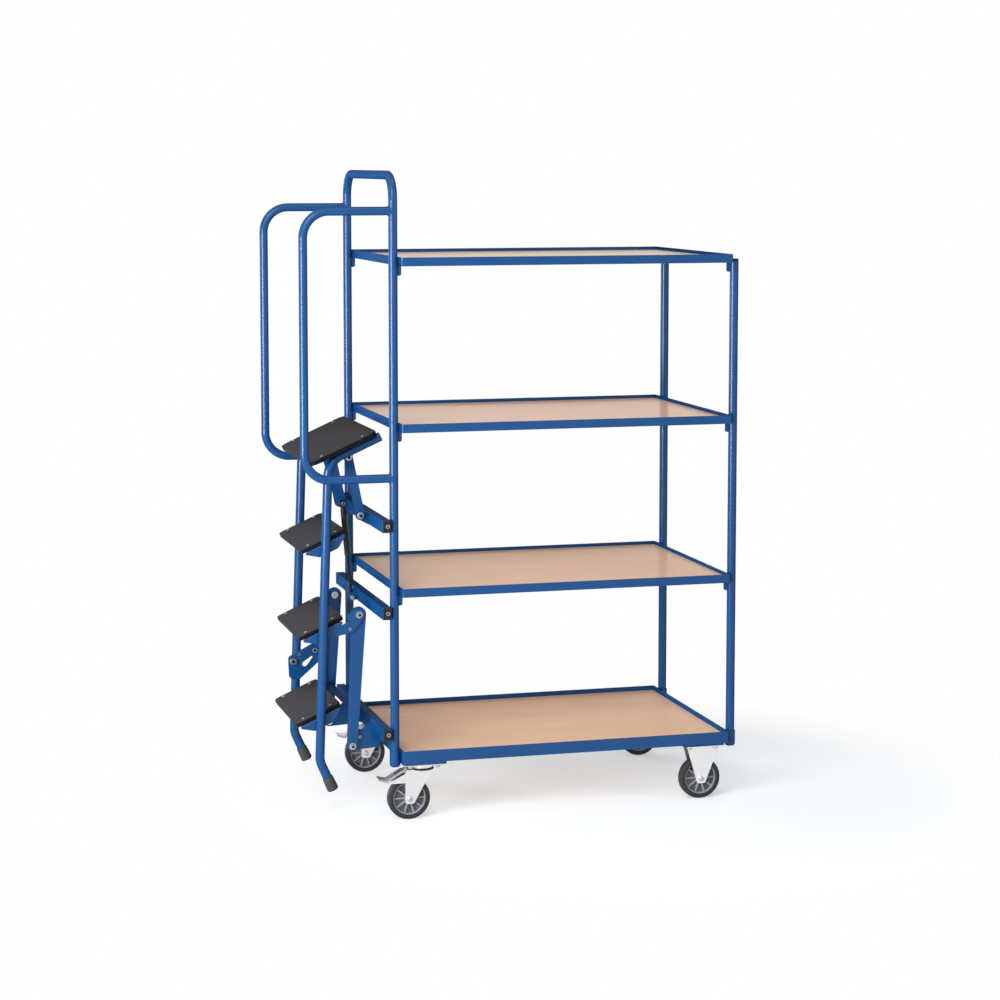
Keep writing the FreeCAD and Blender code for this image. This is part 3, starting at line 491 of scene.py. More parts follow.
def close_tree(tree, given, out, geometry):
    """Ends a geometry tree with real meshes in its material."""
    real = output(tree, "GeometryNodeRealizeInstances", {"Geometry": geometry})
    dressed = output(tree, "GeometryNodeSetMaterial", {"Geometry": real, "Material": given["Material"]})
    tree.links.new(dressed, out["Geometry"])


def moved(tree, geometry, **change):
    """Output of a Transform node, with its Translation or Rotation by name."""
    return output(tree, "GeometryNodeTransform", {"Geometry": geometry, **change})


def vector_of(tree, **parts):
    """Output of a Combine XYZ node, with its parts by name."""
    return output(tree, "ShaderNodeCombineXYZ", parts)


def fastener_tree():
    """Washer, head and crown instanced on points along their aim attribute, each turned by chance."""
    tree, given, out = geometry_tree("fastener_set", [
        ("Sides", COUNT, 6), ("Head Radius", NUMBER, 0.008), ("Head Height", NUMBER, 0.005),
        ("Crown Share", NUMBER, 0.82), ("Crown Height", NUMBER, 0.001),
        ("Washer Radius", NUMBER, 0.011), ("Washer Height", NUMBER, 0.0015), ("Seed", COUNT, 3)])
    radius, height, washer_height = given["Head Radius"], given["Head Height"], given["Washer Height"]
    washer = output(tree, "GeometryNodeMeshCylinder", {
        "Vertices": 24, "Radius": given["Washer Radius"], "Depth": washer_height})
    head = output(tree, "GeometryNodeMeshCylinder", {
        "Vertices": given["Sides"], "Radius": radius, "Depth": height})
    crown = output(tree, "GeometryNodeMeshCone", {
        "Vertices": given["Sides"], "Radius Bottom": radius, "Depth": given["Crown Height"],
        "Radius Top": calculate(tree, "MULTIPLY", radius, given["Crown Share"])})
    levels = ((washer, calculate(tree, "MULTIPLY", washer_height, 0.5)),
              (head, calculate(tree, "MULTIPLY_ADD", height, 0.5, washer_height)),
              (crown, calculate(tree, "ADD", height, washer_height)))
    whole = put(tree, "GeometryNodeJoinGeometry")
    for part, level in levels:
        lifted = moved(tree, part, Translation=vector_of(tree, Z=level))
        tree.links.new(lifted, whole.inputs["Geometry"])
    aim = output(tree, "GeometryNodeInputNamedAttribute", {"Name": "aim"}, data_type="FLOAT_VECTOR")
    stand = output(tree, "FunctionNodeAlignRotationToVector", {"Vector": aim}, axis="Z")
    chance = put(tree, "FunctionNodeRandomValue", {"Seed": given["Seed"]}, data_type="FLOAT")
    spin = output(tree, "FunctionNodeAxisAngleToRotation", {
        "Axis": UP, "Angle": chance.outputs[RANDOM_NUMBER]})
    turned = output(tree, "FunctionNodeRotateRotation", {"Rotation": stand, "Rotate By": spin},
                    rotation_space="LOCAL")
    placed = output(tree, "GeometryNodeInstanceOnPoints", {
        "Points": given["Geometry"], "Instance": whole.outputs[0], "Rotation": turned})
    close_tree(tree, given, out, placed)


def weld_tree():
    """Uneven bead swept along the edges of a path mesh."""
    tree, given, out = geometry_tree("weld_bead", [
        ("Radius", NUMBER, 0.002), ("Step", NUMBER, 0.003), ("Wobble", NUMBER, 0.0014)])
    path = output(tree, "GeometryNodeMeshToCurve", {"Mesh": given["Geometry"]})
    even = output(tree, "GeometryNodeResampleCurve", {"Curve": path, "Length": given["Step"]}, mode="LENGTH")
    ring = output(tree, "GeometryNodeCurvePrimitiveCircle", {"Resolution": 8, "Radius": given["Radius"]})
    bead = output(tree, "GeometryNodeCurveToMesh", {"Curve": even, "Profile Curve": ring, "Fill Caps": True})
    centred = calculate(tree, "SUBTRACT", noise(tree, scale=160.0, detail=1.0), 0.5)
    height = calculate(tree, "MULTIPLY", centred, given["Wobble"])
    normal = output(tree, "GeometryNodeInputNormal")
    offset = output(tree, "ShaderNodeVectorMath", {"Vector": normal, "Scale": height}, operation="SCALE")
    uneven = output(tree, "GeometryNodeSetPosition", {"Geometry": bead, "Offset": offset})
    close_tree(tree, given, out, uneven)


def rib_tree():
    """Round bars laid along Y, one on each point."""
    tree, given, out = geometry_tree("rib_row", [("Length", NUMBER, 0.03), ("Radius", NUMBER, 0.001)])
    bar = output(tree, "GeometryNodeMeshCylinder", {
        "Vertices": 10, "Radius": given["Radius"], "Depth": given["Length"]})
    laid = moved(tree, bar, Rotation=LAID_DOWN)
    placed = output(tree, "GeometryNodeInstanceOnPoints", {"Points": given["Geometry"], "Instance": laid})
    close_tree(tree, given, out, placed)


def spoke_tree():
    """Spokes set round a wheel's axle, which lies along Y at a centre."""
    tree, given, out = geometry_tree("spoke_ring", [
        ("Count", COUNT, 10), ("Inner", NUMBER, 0.014), ("Outer", NUMBER, 0.046), ("Width", NUMBER, 0.004),
        ("Depth", NUMBER, 0.02), ("Centre", VECTOR, None)])
    length = calculate(tree, "SUBTRACT", given["Outer"], given["Inner"])
    middle = calculate(tree, "MULTIPLY", calculate(tree, "ADD", given["Outer"], given["Inner"]), 0.5)
    size = vector_of(tree, X=length, Y=given["Width"], Z=given["Depth"])
    bar = output(tree, "GeometryNodeMeshCube", {"Size": size})
    spoke = moved(tree, bar, Translation=vector_of(tree, X=middle))
    seats = output(tree, "GeometryNodeMeshLine", {"Count": given["Count"], "Offset": (0.0, 0.0, 0.0)})
    share = calculate(tree, "DIVIDE", output(tree, "GeometryNodeInputIndex"), given["Count"])
    turn = calculate(tree, "MULTIPLY", share, FULL_TURN)
    around = output(tree, "FunctionNodeAxisAngleToRotation", {"Axis": UP, "Angle": turn})
    placed = output(tree, "GeometryNodeInstanceOnPoints", {
        "Points": seats, "Instance": spoke, "Rotation": around})
    close_tree(tree, given, out, moved(tree, placed, Translation=given["Centre"], Rotation=LAID_DOWN))


def grow(name, tree_name, source, body, values, smooth=30.0):
    """Runs a node tree on a source mesh and keeps the result as one plain piece of a body."""
    tree = bpy.data.node_groups[tree_name]
    seed = add_to_scene(name + "_seed", source)
    modifier = seed.modifiers.new("grow", "NODES")
    modifier.node_group = tree
    sockets = {item.name: item.identifier for item in tree.interface.items_tree if item.in_out == "INPUT"}
    for label, value in values.items():
        modifier[sockets[label]] = value
    bpy.context.view_layer.update()
    result = bpy.data.meshes.new_from_object(seed.evaluated_get(bpy.context.evaluated_depsgraph_get()))
    if not result.polygons:
        raise RuntimeError(name + " came out empty")
    bpy.data.objects.remove(seed)
    result.name = name
    return add_piece(name, result, body, smooth)


def points_mesh(name, places):
    """Loose points with an aim attribute from (place, direction) pairs."""
    mesh = bpy.data.meshes.new(name + "_points")
    mesh.from_pydata([tuple(place) for place, direction in places], [], [])
    aim = mesh.attributes.new("aim", "FLOAT_VECTOR", "POINT")
    aim.data.foreach_set("vector", [part for place, direction in places for part in direction])
    return mesh


def paths_mesh(name, chains):
    """Edge chains from lists of points; a chain marked closed joins its ends."""
    verts = []
    edges = []
    for chain, closed in chains:
        first = len(verts)
        verts += [tuple(point) for point in chain]
        edges += [(first + i, first + i + 1) for i in range(len(chain) - 1)]
        if closed:
            edges.append((len(verts) - 1, first))
    mesh = bpy.data.meshes.new(name + "_path")
    mesh.from_pydata(verts, edges, [])
    return mesh


def fasten(name, places, body, radius, height, washer=0.0, sides=6, crown=0.82):
    """Steel nuts or rivets on (place, direction) pairs; without a washer a thin seat hides under the head."""
    crown_rise = 0.22
    seat_share, seat_height, washer_height = 0.9, 0.0002, 0.0016
    values = {"Sides": sides, "Head Radius": radius, "Head Height": height, "Crown Share": crown,
              "Crown Height": height * crown_rise, "Washer Radius": washer or radius * seat_share,
              "Washer Height": washer_height if washer else seat_height,
              "Material": finish("bolt_steel")}
    return grow(name, "fastener_set", points_mesh(name, places), body, values)


def socket_heads(name, body, places):
    """Socket heads of one body from (place, direction, (radius, height)) rows."""
    shape = bmesh.new()
    for place, direction, (radius, height) in places:
        socket_bolt(shape, aim_z(place, direction), radius, height)
    # The black second finish paints shade inside the sockets
    add_shape(name, shape, body, "zinc_steel", "bolt_steel", "board_edge_and_socket_shade", smooth=35.0)


class TROLLEY_OT_finishes(bpy.types.Operator):
    """Builds the finishes and node sets and dresses the solids"""

    bl_idname = "trolley.finishes"
    bl_label = "Finishes"

    def execute(self, context):
        look = context.scene.trolley_finish
        surface_grain_group()
        settled_dust_group()
        fastener_tree()
        weld_tree()
        rib_tree()
        spoke_tree()
        mean = look.paint_rough
        tree, surface = grained(
            "blue_coat", look.paint, grain=620.0, rough=(mean - 0.05, mean + 0.06), bump=0.012, depth=0.0003,
            spread=(1.08, 0.92), dust=0.05, Specular_IOR_Level=0.0, Coat_Roughness=0.2, Coat_IOR=1.75)
        gloss_by_facing(tree, surface, facing=(0.2, 0.7), weight=(0.31, 0.05))
        beech_material(look.beech)
        film_material(look.film)
        # Black of the board edges and undersides, also used as painted shade inside the bolt sockets
        grained("board_edge_and_socket_shade", EDGE_AND_SOCKET_SHADE_BLACK, grain=300.0, rough=(0.50, 0.66), bump=0.25, depth=0.0004,
                spread=(1.3, 0.7), dust=0.0, Specular_IOR_Level=0.04)
        grained("zinc_plate", look.zinc, grain=260.0, rough=(0.24, 0.40), bump=0.08, depth=0.0003,
                spread=(1.05, 0.90), dust=0.0, Metallic=1.0)
        grained("bolt_steel", BOLT_GREY, grain=500.0, rough=(0.22, 0.38), bump=0.08, depth=0.0003,
                spread=(1.08, 0.86), dust=0.0, Metallic=1.0)
        grained("black_moulding", CAP_BLACK, grain=700.0, rough=(0.34, 0.52), bump=0.22, depth=0.0004,
                spread=(1.4, 0.7), dust=0.02, Specular_IOR_Level=0.25)
        grained("foot_compound", look.foot, grain=500.0, rough=(0.62, 0.80), bump=0.30, depth=0.0005,
                spread=(1.2, 0.8), dust=0.03, Specular_IOR_Level=0.15)
        grained("pedal_steel", look.pedal, grain=300.0, rough=(0.26, 0.46), bump=0.25, depth=0.0006,
                spread=(1.5, 0.6), dust=0.0, Metallic=1.0)
        grained("tyre_rubber", look.tyre, grain=420.0, rough=(0.58, 0.76), bump=0.25, depth=0.0005,
                spread=(1.25, 0.8), dust=0.04, Specular_IOR_Level=0.3)
        grained("core_moulding", look.core, grain=380.0, rough=(0.40, 0.58), bump=0.18, depth=0.0004,
                spread=(1.15, 0.88), dust=0.05)
        # Darker tone of the rim plastic, painted shade for the recessed webs
        grained("web_painted_shade", look.web, grain=380.0, rough=(0.46, 0.64), bump=0.20, depth=0.0004,
                spread=(1.2, 0.85), dust=0.05)
        grained("gas_lacquer", LACQUER_BLACK, grain=600.0, rough=(0.26, 0.40), bump=0.06, depth=0.0003,
                spread=(1.3, 0.8), dust=0.02, Specular_IOR_Level=0.2)
        grained("rod_dark", ROD_BLACK, grain=900.0, rough=(0.30, 0.45), bump=0.04, depth=0.0002,
                spread=(1.2, 0.8), dust=0.0, Specular_IOR_Level=0.08)
        by_slot = {"blue_paint": "blue_coat", "beech_panel": "beech_board", "tread_board": "tread_film",
                   "zinc_steel": "zinc_plate", "black_plastic": "black_moulding",
                   "foot_rubber": "foot_compound", "gas_black": "gas_lacquer", "rod_steel": "rod_dark",
                   "wheel_plastic": "core_moulding", "wheel_tyre": "tyre_rubber"}
        for entry in frame["record"]["subparts"]:
            solid = NODES[entry["node"]]
            pedal = entry["node"].startswith("brake_pedal")
            material = finish("pedal_steel" if pedal else by_slot[entry["material_slot"]])
            if not solid.material_slots:
                solid.data.materials.append(material)
            for slot in solid.material_slots:
                slot.material = material
        return {"FINISHED"}


class TROLLEY_OT_boards(bpy.types.Operator):
    """Builds the step boards and the platform with rounded edges, and their rivets"""

    bl_idname = "trolley.boards"
    bl_label = "Boards"

    def execute(self, context):
        fit = context.scene.trolley_fittings
        thickness = 0.012
        lid_depth = 1e-5
        rivet_share, rivet_inset, rivet_sink = 0.62, 0.022, 0.0002
        # Half depth, half width and corner radius, then each board's node and the height of its top
        step = (0.071, 0.181, 0.012)
        platform = (0.107, 0.237, 0.024)
        boards = [("ladder_step_low", 0.221, step), ("ladder_step_middle", 0.451, step),
                  ("ladder_step_high", 0.681, step), ("ladder_platform_board", 0.911, platform)]
        up = (TO_REST.to_3x3() @ Vector(UP)).normalized()
        rivets = []
        for node, top, (half_x, half_y, corner) in boards:
            low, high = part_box(node)
            middle = (TO_REST.inverted() @ ((Vector(low) + Vector(high)) / 2)).x
            shape = bmesh.new()
            outline = rounded_outline(half_x, half_y, corner)
            base = [shape.verts.new((middle + x, y, top - thickness)) for x, y in outline]
            lid = [shape.verts.new((middle + x, y, top)) for x, y in outline]
            shape.faces.new(base[::-1])
            shape.faces.new(lid)
            for i in range(len(base)):
                j = (i + 1) % len(base)
                shape.faces.new((base[i], base[j], lid[j], lid[i]))
            rims = [edge for edge in shape.edges if abs(edge.verts[0].co.z - edge.verts[1].co.z) < TINY]
            bmesh.ops.bevel(shape, geom=rims, offset=fit.board_bevel, segments=3, profile=0.6, affect="EDGES")
            for face in shape.faces:
                face.material_index = 0 if face.calc_center_median().z > top - lid_depth else 1
            bmesh.ops.transform(shape, matrix=TO_REST, verts=shape.verts)
            piece = add_shape(node + "_board", shape, "ladder", "tread_board", "tread_film", "board_edge_and_socket_shade",
                              smooth=50.0)
            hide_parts(node)
            for end in SIDES:
                for side in SIDES:
                    x = middle + end * half_x * rivet_share
                    y = side * (half_y - rivet_inset)
                    rivets.append((TO_REST @ Vector((x, y, top - rivet_sink)), up))
        fasten("board_rivets", rivets, "ladder", fit.rivet_radius, fit.rivet_height, sides=18, crown=0.6)
        return {"FINISHED"}


class TROLLEY_OT_feet(bpy.types.Operator):
    """Builds the ribbed rubber feet of the ladder"""

    bl_idname = "trolley.feet"
    bl_label = "Ladder feet"

    def execute(self, context):
        stringer_y = 0.2
        # Radius and height along a foot, from its sole up over two grooves and down into its socket
        profile = [(0.0, 0.0), (0.0145, 0.0), (0.0165, 0.0015), (0.0170, 0.004), (0.0170, 0.008),
                   (0.0160, 0.0088), (0.0160, 0.0100), (0.0169, 0.0108), (0.0168, 0.0150), (0.0159, 0.0158),
                   (0.0159, 0.0170), (0.0167, 0.0178), (0.0163, 0.0300), (0.0158, 0.0400), (0.0150, 0.0420),
                   (0.0136, 0.0420), (0.0136, 0.0080), (0.0, 0.0080)]
        shape = bmesh.new()
        for side in SIDES:
            lathe(shape, profile, TO_REST @ Matrix.Translation((0, side * stringer_y, 0)), steps=36)
        piece = add_shape("foot_ferrules", shape, "ladder", "foot_rubber", "foot_compound")
        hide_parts("ladder_feet")
        return {"FINISHED"}


class TROLLEY_OT_bolts(bpy.types.Operator):
    """Sets socket heads on the pivots and plates, nuts on the pivots and under the caster plates"""

    bl_idname = "trolley.bolts"
    bl_label = "Bolts"

    def execute(self, context):
        fit = context.scene.trolley_fittings
        # Radius and height of the heads and nuts
        pivot_head = (fit.head_radius, fit.head_height)
        stop_head = (0.0048, 0.0060)
        bar_head = (0.0062, 0.0036)
        arm_head = (0.0048, 0.0040)
        ladder_nut = (0.0085, 0.0040)
        base_nut = (0.0075, 0.0036)
        caster_nut = (0.0075, 0.0055)

        def pair(node, x, z, head=pivot_head):
            """Heads on the two outer faces of a node."""
            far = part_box(node)[1][1]
            return [(Vector((x, side * far, z)), (0, side, 0), head) for side in SIDES]

        def on_ladder(ahead, above, y, aim, head):
            """A head on the ladder, from its place with the steps level."""
            at = TO_REST @ Vector((ahead, 0, above))
            return (Vector((at.x, y, at.z)), (0, aim, 0), head)

        lower = JOINTS["lower_link_swing"]["pos_m"]
        upper = JOINTS["upper_link_swing"]["pos_m"]
        stop_x, stop_z = MIDDLE_X - 0.5892, 0.2205
        bar_inset, bar_lift = 0.0108, 0.001
        cap_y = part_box("crossbar_caps")[1][1]
        heads = pair("lower_pivot_bolts", lower[0], lower[2])
        heads += pair("lower_link_brackets", stop_x, stop_z, stop_head)
        for node in CROSSBARS:
            base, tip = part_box(node)
            x, z = tip[0] - bar_inset, (base[2] + tip[2]) / 2 + bar_lift
            heads += [(Vector((x, side * cap_y, z)), (0, side, 0), bar_head) for side in SIDES]
        socket_heads("base_bolt_heads", "base", heads)

        pivot_nut_y, lug_nut_y = 0.1644, 0.1380
        pivots = ((LADDER_PIVOT.x, pivot_nut_y, LADDER_PIVOT.z), (upper[0], lug_nut_y, upper[2]))
        nuts = [(Vector((x, side * y, z)), (0, -side, 0)) for x, y, z in pivots for side in SIDES]
        fasten("ladder_pivot_nuts", nuts, "ladder", *ladder_nut)

        link_nut_y, spring_nut_y = 0.1570, 0.0174
        foot = JOINTS["gas_spring_lean"]["pos_m"]
        nuts = [(Vector((lower[0], side * link_nut_y, lower[2])), (0, -side, 0)) for side in SIDES]
        nuts.append((Vector((foot[0], spring_nut_y, foot[2])), (0, -1, 0)))
        fasten("base_pivot_nuts", nuts, "base", *base_nut)

        arm_x, arm_z = 0.244, 0.407
        arm_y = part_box("ladder_arm_back")[1][1]
        plate_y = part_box("lock_plate")[0][1]
        plate_heads = [(0.161, 0.302, (0.0085, 0.0050)), (0.087, 0.301, (0.0105, 0.0080)),
                       (0.113, 0.313, (0.0042, 0.0040))]
        heads = pair("ladder_pivot_bolts", LADDER_PIVOT.x, LADDER_PIVOT.z)
        heads += pair("platform_lug_bolts", upper[0], upper[2])
        heads += [on_ladder(arm_x, arm_z, side * arm_y, side, arm_head) for side in SIDES]
        heads += [on_ladder(ahead, above, plate_y, -1, head) for ahead, above, head in plate_heads]
        socket_heads("ladder_bolt_heads", "ladder", heads)

        low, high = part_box("upper_link_pins")
        pins = pair("upper_link_pins", (low[0] + high[0]) / 2, (low[2] + high[2]) / 2)
        socket_heads("link_pin_heads", "upper_links", pins)

        nut_x, nut_y, nut_z, washer = 0.041, 0.032, 0.1631, 0.0085
        nuts = []
        for word in WHEELS:
            name = word.replace("left_", "caster_swivel_") if "left" in word else "wheel_spin_" + word
            x, y, z = JOINTS[name]["pos_m"]
            nuts += [(Vector((x + end * nut_x, y + side * nut_y, nut_z)), (0, 0, -1))
                     for end in SIDES for side in SIDES]
        fasten("caster_nuts", nuts, "base", *caster_nut, washer=washer)
        return {"FINISHED"}


class TROLLEY_OT_wheels(bpy.types.Operator):
    """Builds the wheel cores with their webs and spokes; the recessed webs take a darker colour as painted shade
    """

    bl_idname = "trolley.wheels"
    bl_label = "Wheels"

    def execute(self, context):
        fit = context.scene.trolley_fittings
        bore, hub, rim, edge = 0.0061, 0.0150, 0.0450, 0.0489
        hub_half, web_half, rim_half = 0.0180, 0.0030, 0.0134
        web_reach = web_half + 0.0005
        half = [(bore, hub_half), (0.0143, hub_half), (hub, 0.0173), (hub, web_half), (rim, web_half),
                (rim, 0.0126), (0.0456, rim_half), (0.0484, rim_half), (edge, 0.0128)]
        profile = [(radius, -height) for radius, height in half] + half[::-1]
        for word in WHEELS:
            centre = Vector(JOINTS["wheel_spin_" + word]["pos_m"])
            shape = bmesh.new()
            lathe(shape, profile, aim_z(centre, (0, 1, 0)), steps=48)
            for face in shape.faces:
                middle = face.calc_center_median() - centre
                reach = math.hypot(middle.x, middle.z)
                # Faces of the recessed web take the darker second finish, painted shade
                face.material_index = 1 if abs(middle.y) < web_reach and hub < reach < rim else 0
            piece = add_shape("core_" + word, shape, "wheel_" + word, "wheel_plastic",
                              "core_moulding", "web_painted_shade")
            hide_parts("wheel_core_" + word)
            seed = bpy.data.meshes.new("spoke_seed")
            sizes = {"Count": fit.spokes, "Width": fit.spoke_width, "Centre": centre,
                     "Material": finish("core_moulding")}
            grow("spokes_" + word, "spoke_ring", seed, "wheel_" + word, sizes)
        return {"FINISHED"}


class TROLLEY_OT_casters(bpy.types.Operator):
    """Adds the brake yokes, pedal ribs and axle nuts"""

    bl_idname = "trolley.casters"
    bl_label = "Caster fittings"

    def execute(self, context):
        fit = context.scene.trolley_fittings
        # Radius and height of the yoke's ring round the swivel axis
        yoke = [(0.0321, 0.1462), (0.0342, 0.1462), (0.0352, 0.1472), (0.0352, 0.1512), (0.0340, 0.1524),
                (0.0321, 0.1524)]
        knee = Vector((-0.061, 0, 0.1435))
        tip = Vector((-0.107, 0, 0.117))
        pedal = tip - knee
        lift = Vector((pedal.z, 0, -pedal.x)).normalized() * 0.0036
        first_rib, rib_span = 0.48, 0.46
        fork_half = 0.026
        axle_nut = (0.0078, 0.0035)
        rib = {"Length": 0.030, "Radius": 0.0012, "Material": finish("pedal_steel")}
        for word in ("front", "back"):
            centre = Vector(JOINTS["caster_swivel_" + word]["pos_m"])
            axis = Vector((centre.x, centre.y, 0))
            shape = bmesh.new()
            lathe(shape, yoke, Matrix.Translation(axis), steps=48)
            add_shape("brake_yoke_" + word, shape, "swivel_" + word, "black_plastic", "black_moulding")
            ribs = []
            for i in range(fit.pedal_ribs):
                share = first_rib + rib_span * i / max(1, fit.pedal_ribs - 1)
                ribs.append((axis + knee + pedal * share + lift, (0, 1, 0)))
            name = "pedal_ribs_" + word
            grow(name, "rib_row", points_mesh(name, ribs), "pedal_" + word, rib)
            for end, body in (("left_", "swivel_" + word), ("right_", "base")):
                hub = Vector(JOINTS["wheel_spin_" + end + word]["pos_m"])
                nuts = [(hub + Vector((0, side * fork_half, 0)), (0, side, 0)) for side in SIDES]
                fasten("axle_nuts_" + end + word, nuts, body, *axle_nut)
        return {"FINISHED"}


class TROLLEY_OT_gas_spring(bpy.types.Operator):
    """Adds the seal collar, end cap and eye bolt of the gas spring"""

    bl_idname = "trolley.gas_spring"
    bl_label = "Gas spring fittings"

    def execute(self, context):
        foot = Vector(JOINTS["gas_spring_lean"]["pos_m"])
        along = Vector(JOINTS["gas_spring_stroke"]["axis"]).normalized()
        place = aim_z(foot, along if along.z > 0 else -along)
        # Radius and distance from the lower eye
        collar = [(0.0050, 0.1265), (0.0075, 0.1265), (0.0093, 0.1280), (0.0093, 0.1335), (0.0091, 0.1345),
                  (0.0050, 0.1345)]
        cap = [(0.0070, 0.2640), (0.0093, 0.2640), (0.0093, 0.2680), (0.0070, 0.2725)]
        upper_eye = 0.2861
        eye_head = (0.0060, 0.0030)
        shape = bmesh.new()
        for profile in (collar, cap):
            lathe(shape, profile, place, steps=32)
        add_shape("gas_spring_collars", shape, "gas_cylinder", "gas_black", "black_moulding")
        eye = place @ Vector((0, 0, upper_eye))
        eye.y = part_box("gas_spring_cylinder")[0][1]
        socket_heads("gas_eye_head", "gas_cylinder", [(eye, (0, -1, 0), eye_head)])
        return {"FINISHED"}


class TROLLEY_OT_welds(bpy.types.Operator):
    """Runs weld beads round the handrail ends and along the crossbars"""

    bl_idname = "trolley.welds"
    bl_label = "Welds"

    def execute(self, context):
        fit = context.scene.trolley_fittings
        post_radius, rail_radius = 0.013, 0.0125
        post_x, post_y = MIDDLE_X - 0.516, 0.3125
        rail_heights = (1.766, 1.002)
        ring_steps, line_steps = 36, 12
        line_depth, line_offset = 0.0119, 0.0062
        line_start, line_length = 0.003, 0.029
        chains = []
        for side in SIDES:
            for height in rail_heights:
                ring = []
                for i in range(ring_steps):
                    angle = FULL_TURN * i / ring_steps
                    y = rail_radius * math.cos(angle)
                    x = post_x - math.sqrt(post_radius ** 2 - y ** 2)
                    ring.append((x, side * post_y + y, height + rail_radius * math.sin(angle)))
                chains.append((ring, True))
            for node in CROSSBARS:
                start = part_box(node)[0][2] + line_start
                for offset in (-line_offset, line_offset):
                    x, y = post_x - line_depth, side * post_y + offset
                    rises = [start + line_length * i / line_steps for i in range(line_steps + 1)]
                    chains.append(([(x, y, z) for z in rises], False))
        bead = {"Radius": fit.weld_radius, "Material": finish("blue_coat")}
        paths = paths_mesh("frame_welds", chains)
        grow("frame_welds", "weld_bead", paths, "base", bead, smooth=60.0)
        return {"FINISHED"}


# Studio

def shown_rays(tree):
    """Share of a ray that shows the white background: camera, glossy and transmission rays."""
    rays = put(tree, "ShaderNodeLightPath").outputs
    seen = calculate(tree, "MAXIMUM", rays["Is Camera Ray"], rays["Is Glossy Ray"])
    return calculate(tree, "MAXIMUM", seen, rays["Is Transmission Ray"])


def pale_floor():
    """A floor that keeps the shadow near the wheels and fades to white further out."""
    shape = bmesh.new()
    bmesh.ops.create_grid(shape, x_segments=1, y_segments=1, size=30.0)
    mesh = bpy.data.meshes.new("studio_floor")
    shape.to_mesh(mesh)
    shape.free()
    tree, surface = new_material("floor_white", Roughness=0.9, Specular_IOR_Level=0.1,
                                 Base_Color=(0.735, 0.78, 0.825, 1))
    lit = surface.outputs[0]
    glow = output(tree, "ShaderNodeEmission", {"Color": (0.955, 0.985, 1.0, 1), "Strength": 0.385})
    near = output(tree, "ShaderNodeAddShader", {0: lit, 1: glow})
    far = output(tree, "ShaderNodeEmission", {"Color": WHITE, "Strength": 1.0})
    where = put(tree, "ShaderNodeTexCoord").outputs["Object"]
    shadow_centre = (0.42, -0.1, 0.0)
    reach = put(tree, "ShaderNodeVectorMath", {0: where, 1: shadow_centre}, operation="DISTANCE")
    fade = map_range(tree, reach.outputs["Value"], source=(0.55, 1.3), interpolation_type="SMOOTHSTEP")
    faded = output(tree, "ShaderNodeMixShader", {0: fade, 1: near, 2: far})
    seen = output(tree, "ShaderNodeMixShader", {0: shown_rays(tree), 1: lit, 2: faded})
    tree.links.new(seen, tree.nodes["Material Output"].inputs["Surface"])
    mesh.materials.append(finish("floor_white"))
    return add_to_scene("studio_floor", mesh)


def pale_room(strength):
    """A world of soft light that the camera and reflections see as white."""
    world = bpy.data.worlds.new("studio_room")
    bpy.context.scene.world = world
    world.use_nodes = True
    tree = world.node_tree
    room = tree.nodes["Background"]
    room.inputs["Color"].default_value = (0.97, 0.985, 1.0, 1)
    room.inputs["Strength"].default_value = strength
    white = output(tree, "ShaderNodeBackground", {"Color": WHITE, "Strength": 1.0})
    seen = output(tree, "ShaderNodeMixShader", {0: shown_rays(tree), 1: room.outputs[0], 2: white})
    tree.links.new(seen, tree.nodes["World Output"].inputs["Surface"])


def soft_light(name, place, size, power):
    """A rectangular light that looks at the trolley's middle."""
    middle = Vector((0.1, 0.0, 0.8))
    lamp = bpy.data.lights.new(name, "AREA")
    lamp.shape = "RECTANGLE"
    lamp.size, lamp.size_y = size
    lamp.energy = power
    holder = add_to_scene(name, lamp)
    holder.location = place
    holder.rotation_euler = (middle - Vector(place)).to_track_quat("-Z", "Y").to_euler()


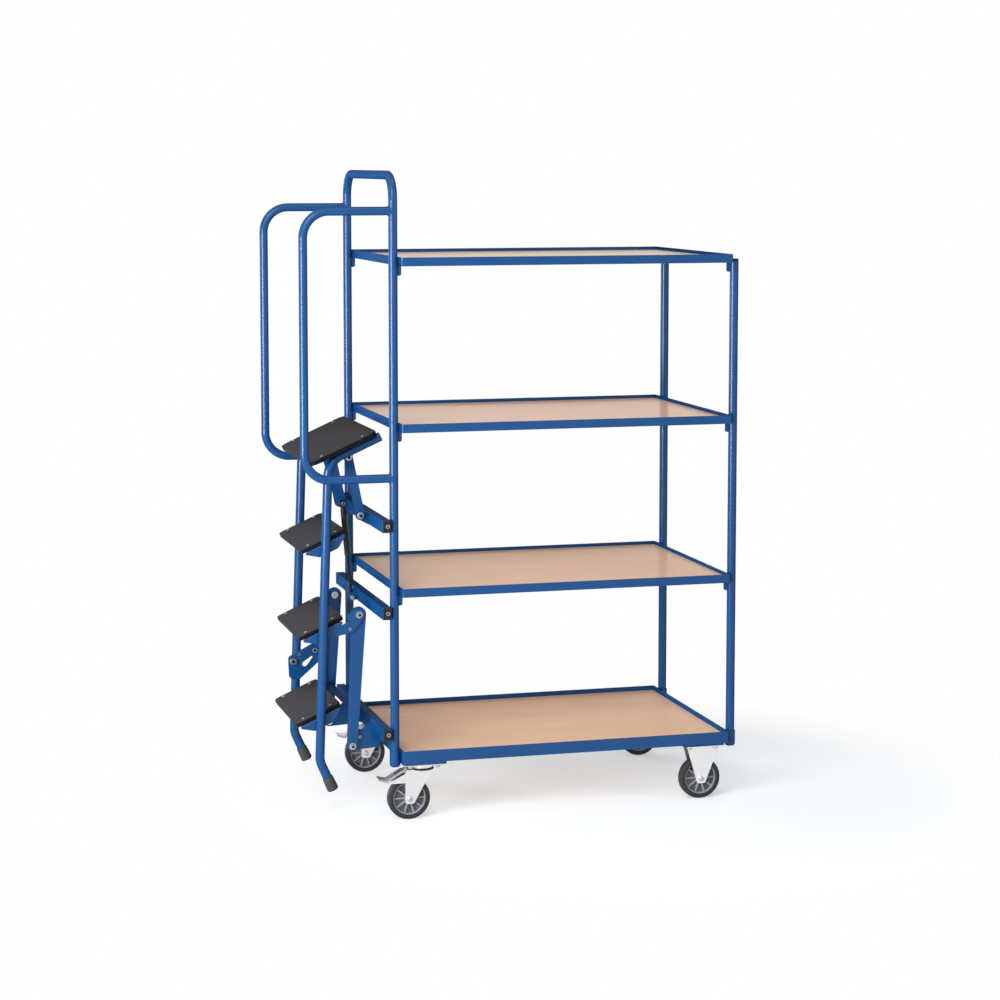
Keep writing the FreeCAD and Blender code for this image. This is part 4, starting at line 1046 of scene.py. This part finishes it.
class TROLLEY_OT_stage(bpy.types.Operator):
    """Sets the floor, the soft lights and the camera"""

    bl_idname = "trolley.stage"
    bl_label = "Studio"

    def execute(self, context):
        studio = context.scene.trolley_studio
        floor = pale_floor()
        pale_room(studio.ambient)
        soft_light("key_light", (-2.6, -4.6, 4.2), (2.9, 2.9), studio.key)
        soft_light("side_light", (-4.4, -2.9, 1.05), (2.4, 1.5), studio.side)
        soft_light("fill_light", (4.5, -3.5, 2.6), (1.6, 2.4), studio.fill)
        soft_light("back_light", (-3.4, 4.8, 1.4), (2.6, 1.6), studio.back)
        soft_light("top_light", (1.0, -0.6, 4.6), (3.0, 1.0), studio.top)
        lens = bpy.data.cameras.new("photo_camera")
        lens.lens = studio.lens
        lens.sensor_width = 36.0
        lens.shift_y = studio.shift_y
        lens.clip_end = 200.0
        camera = add_to_scene("photo_camera", lens)
        camera.location = studio.camera_place
        camera.rotation_euler = (QUARTER_TURN - studio.camera_pitch, 0.0, -studio.camera_yaw)
        context.scene.camera = camera
        context.scene.view_settings.view_transform = "Standard"
        return {"FINISHED"}


OPERATORS = [TROLLEY_OT_finishes, TROLLEY_OT_boards, TROLLEY_OT_feet, TROLLEY_OT_bolts, TROLLEY_OT_wheels,
             TROLLEY_OT_casters, TROLLEY_OT_gas_spring, TROLLEY_OT_welds, TROLLEY_OT_stage]


class TROLLEY_PT_panel(bpy.types.Panel):
    """Lists the trolley's pieces"""

    bl_idname = "TROLLEY_PT_panel"
    bl_label = "Order picking trolley"
    bl_space_type = "VIEW_3D"
    bl_region_type = "UI"
    bl_category = "Trolley"

    def draw(self, context):
        for step in OPERATORS:
            self.layout.operator(step.bl_idname)


CLASSES = [TrolleyFinish, TrolleyFittings, TrolleyStudio] + OPERATORS + [TROLLEY_PT_panel]


def register():
    for item in CLASSES:
        bpy.utils.register_class(item)
    bpy.types.Scene.trolley_finish = PointerProperty(type=TrolleyFinish)
    bpy.types.Scene.trolley_fittings = PointerProperty(type=TrolleyFittings)
    bpy.types.Scene.trolley_studio = PointerProperty(type=TrolleyStudio)


def unregister():
    del bpy.types.Scene.trolley_finish
    del bpy.types.Scene.trolley_fittings
    del bpy.types.Scene.trolley_studio
    for item in reversed(CLASSES):
        bpy.utils.unregister_class(item)


def main():
    register()
    bpy.ops.trolley.finishes()
    bpy.ops.trolley.boards()
    bpy.ops.trolley.feet()
    bpy.ops.trolley.bolts()
    bpy.ops.trolley.wheels()
    bpy.ops.trolley.casters()
    bpy.ops.trolley.gas_spring()
    bpy.ops.trolley.welds()
    bpy.ops.trolley.stage()


if __name__ == "__main__":
    main()
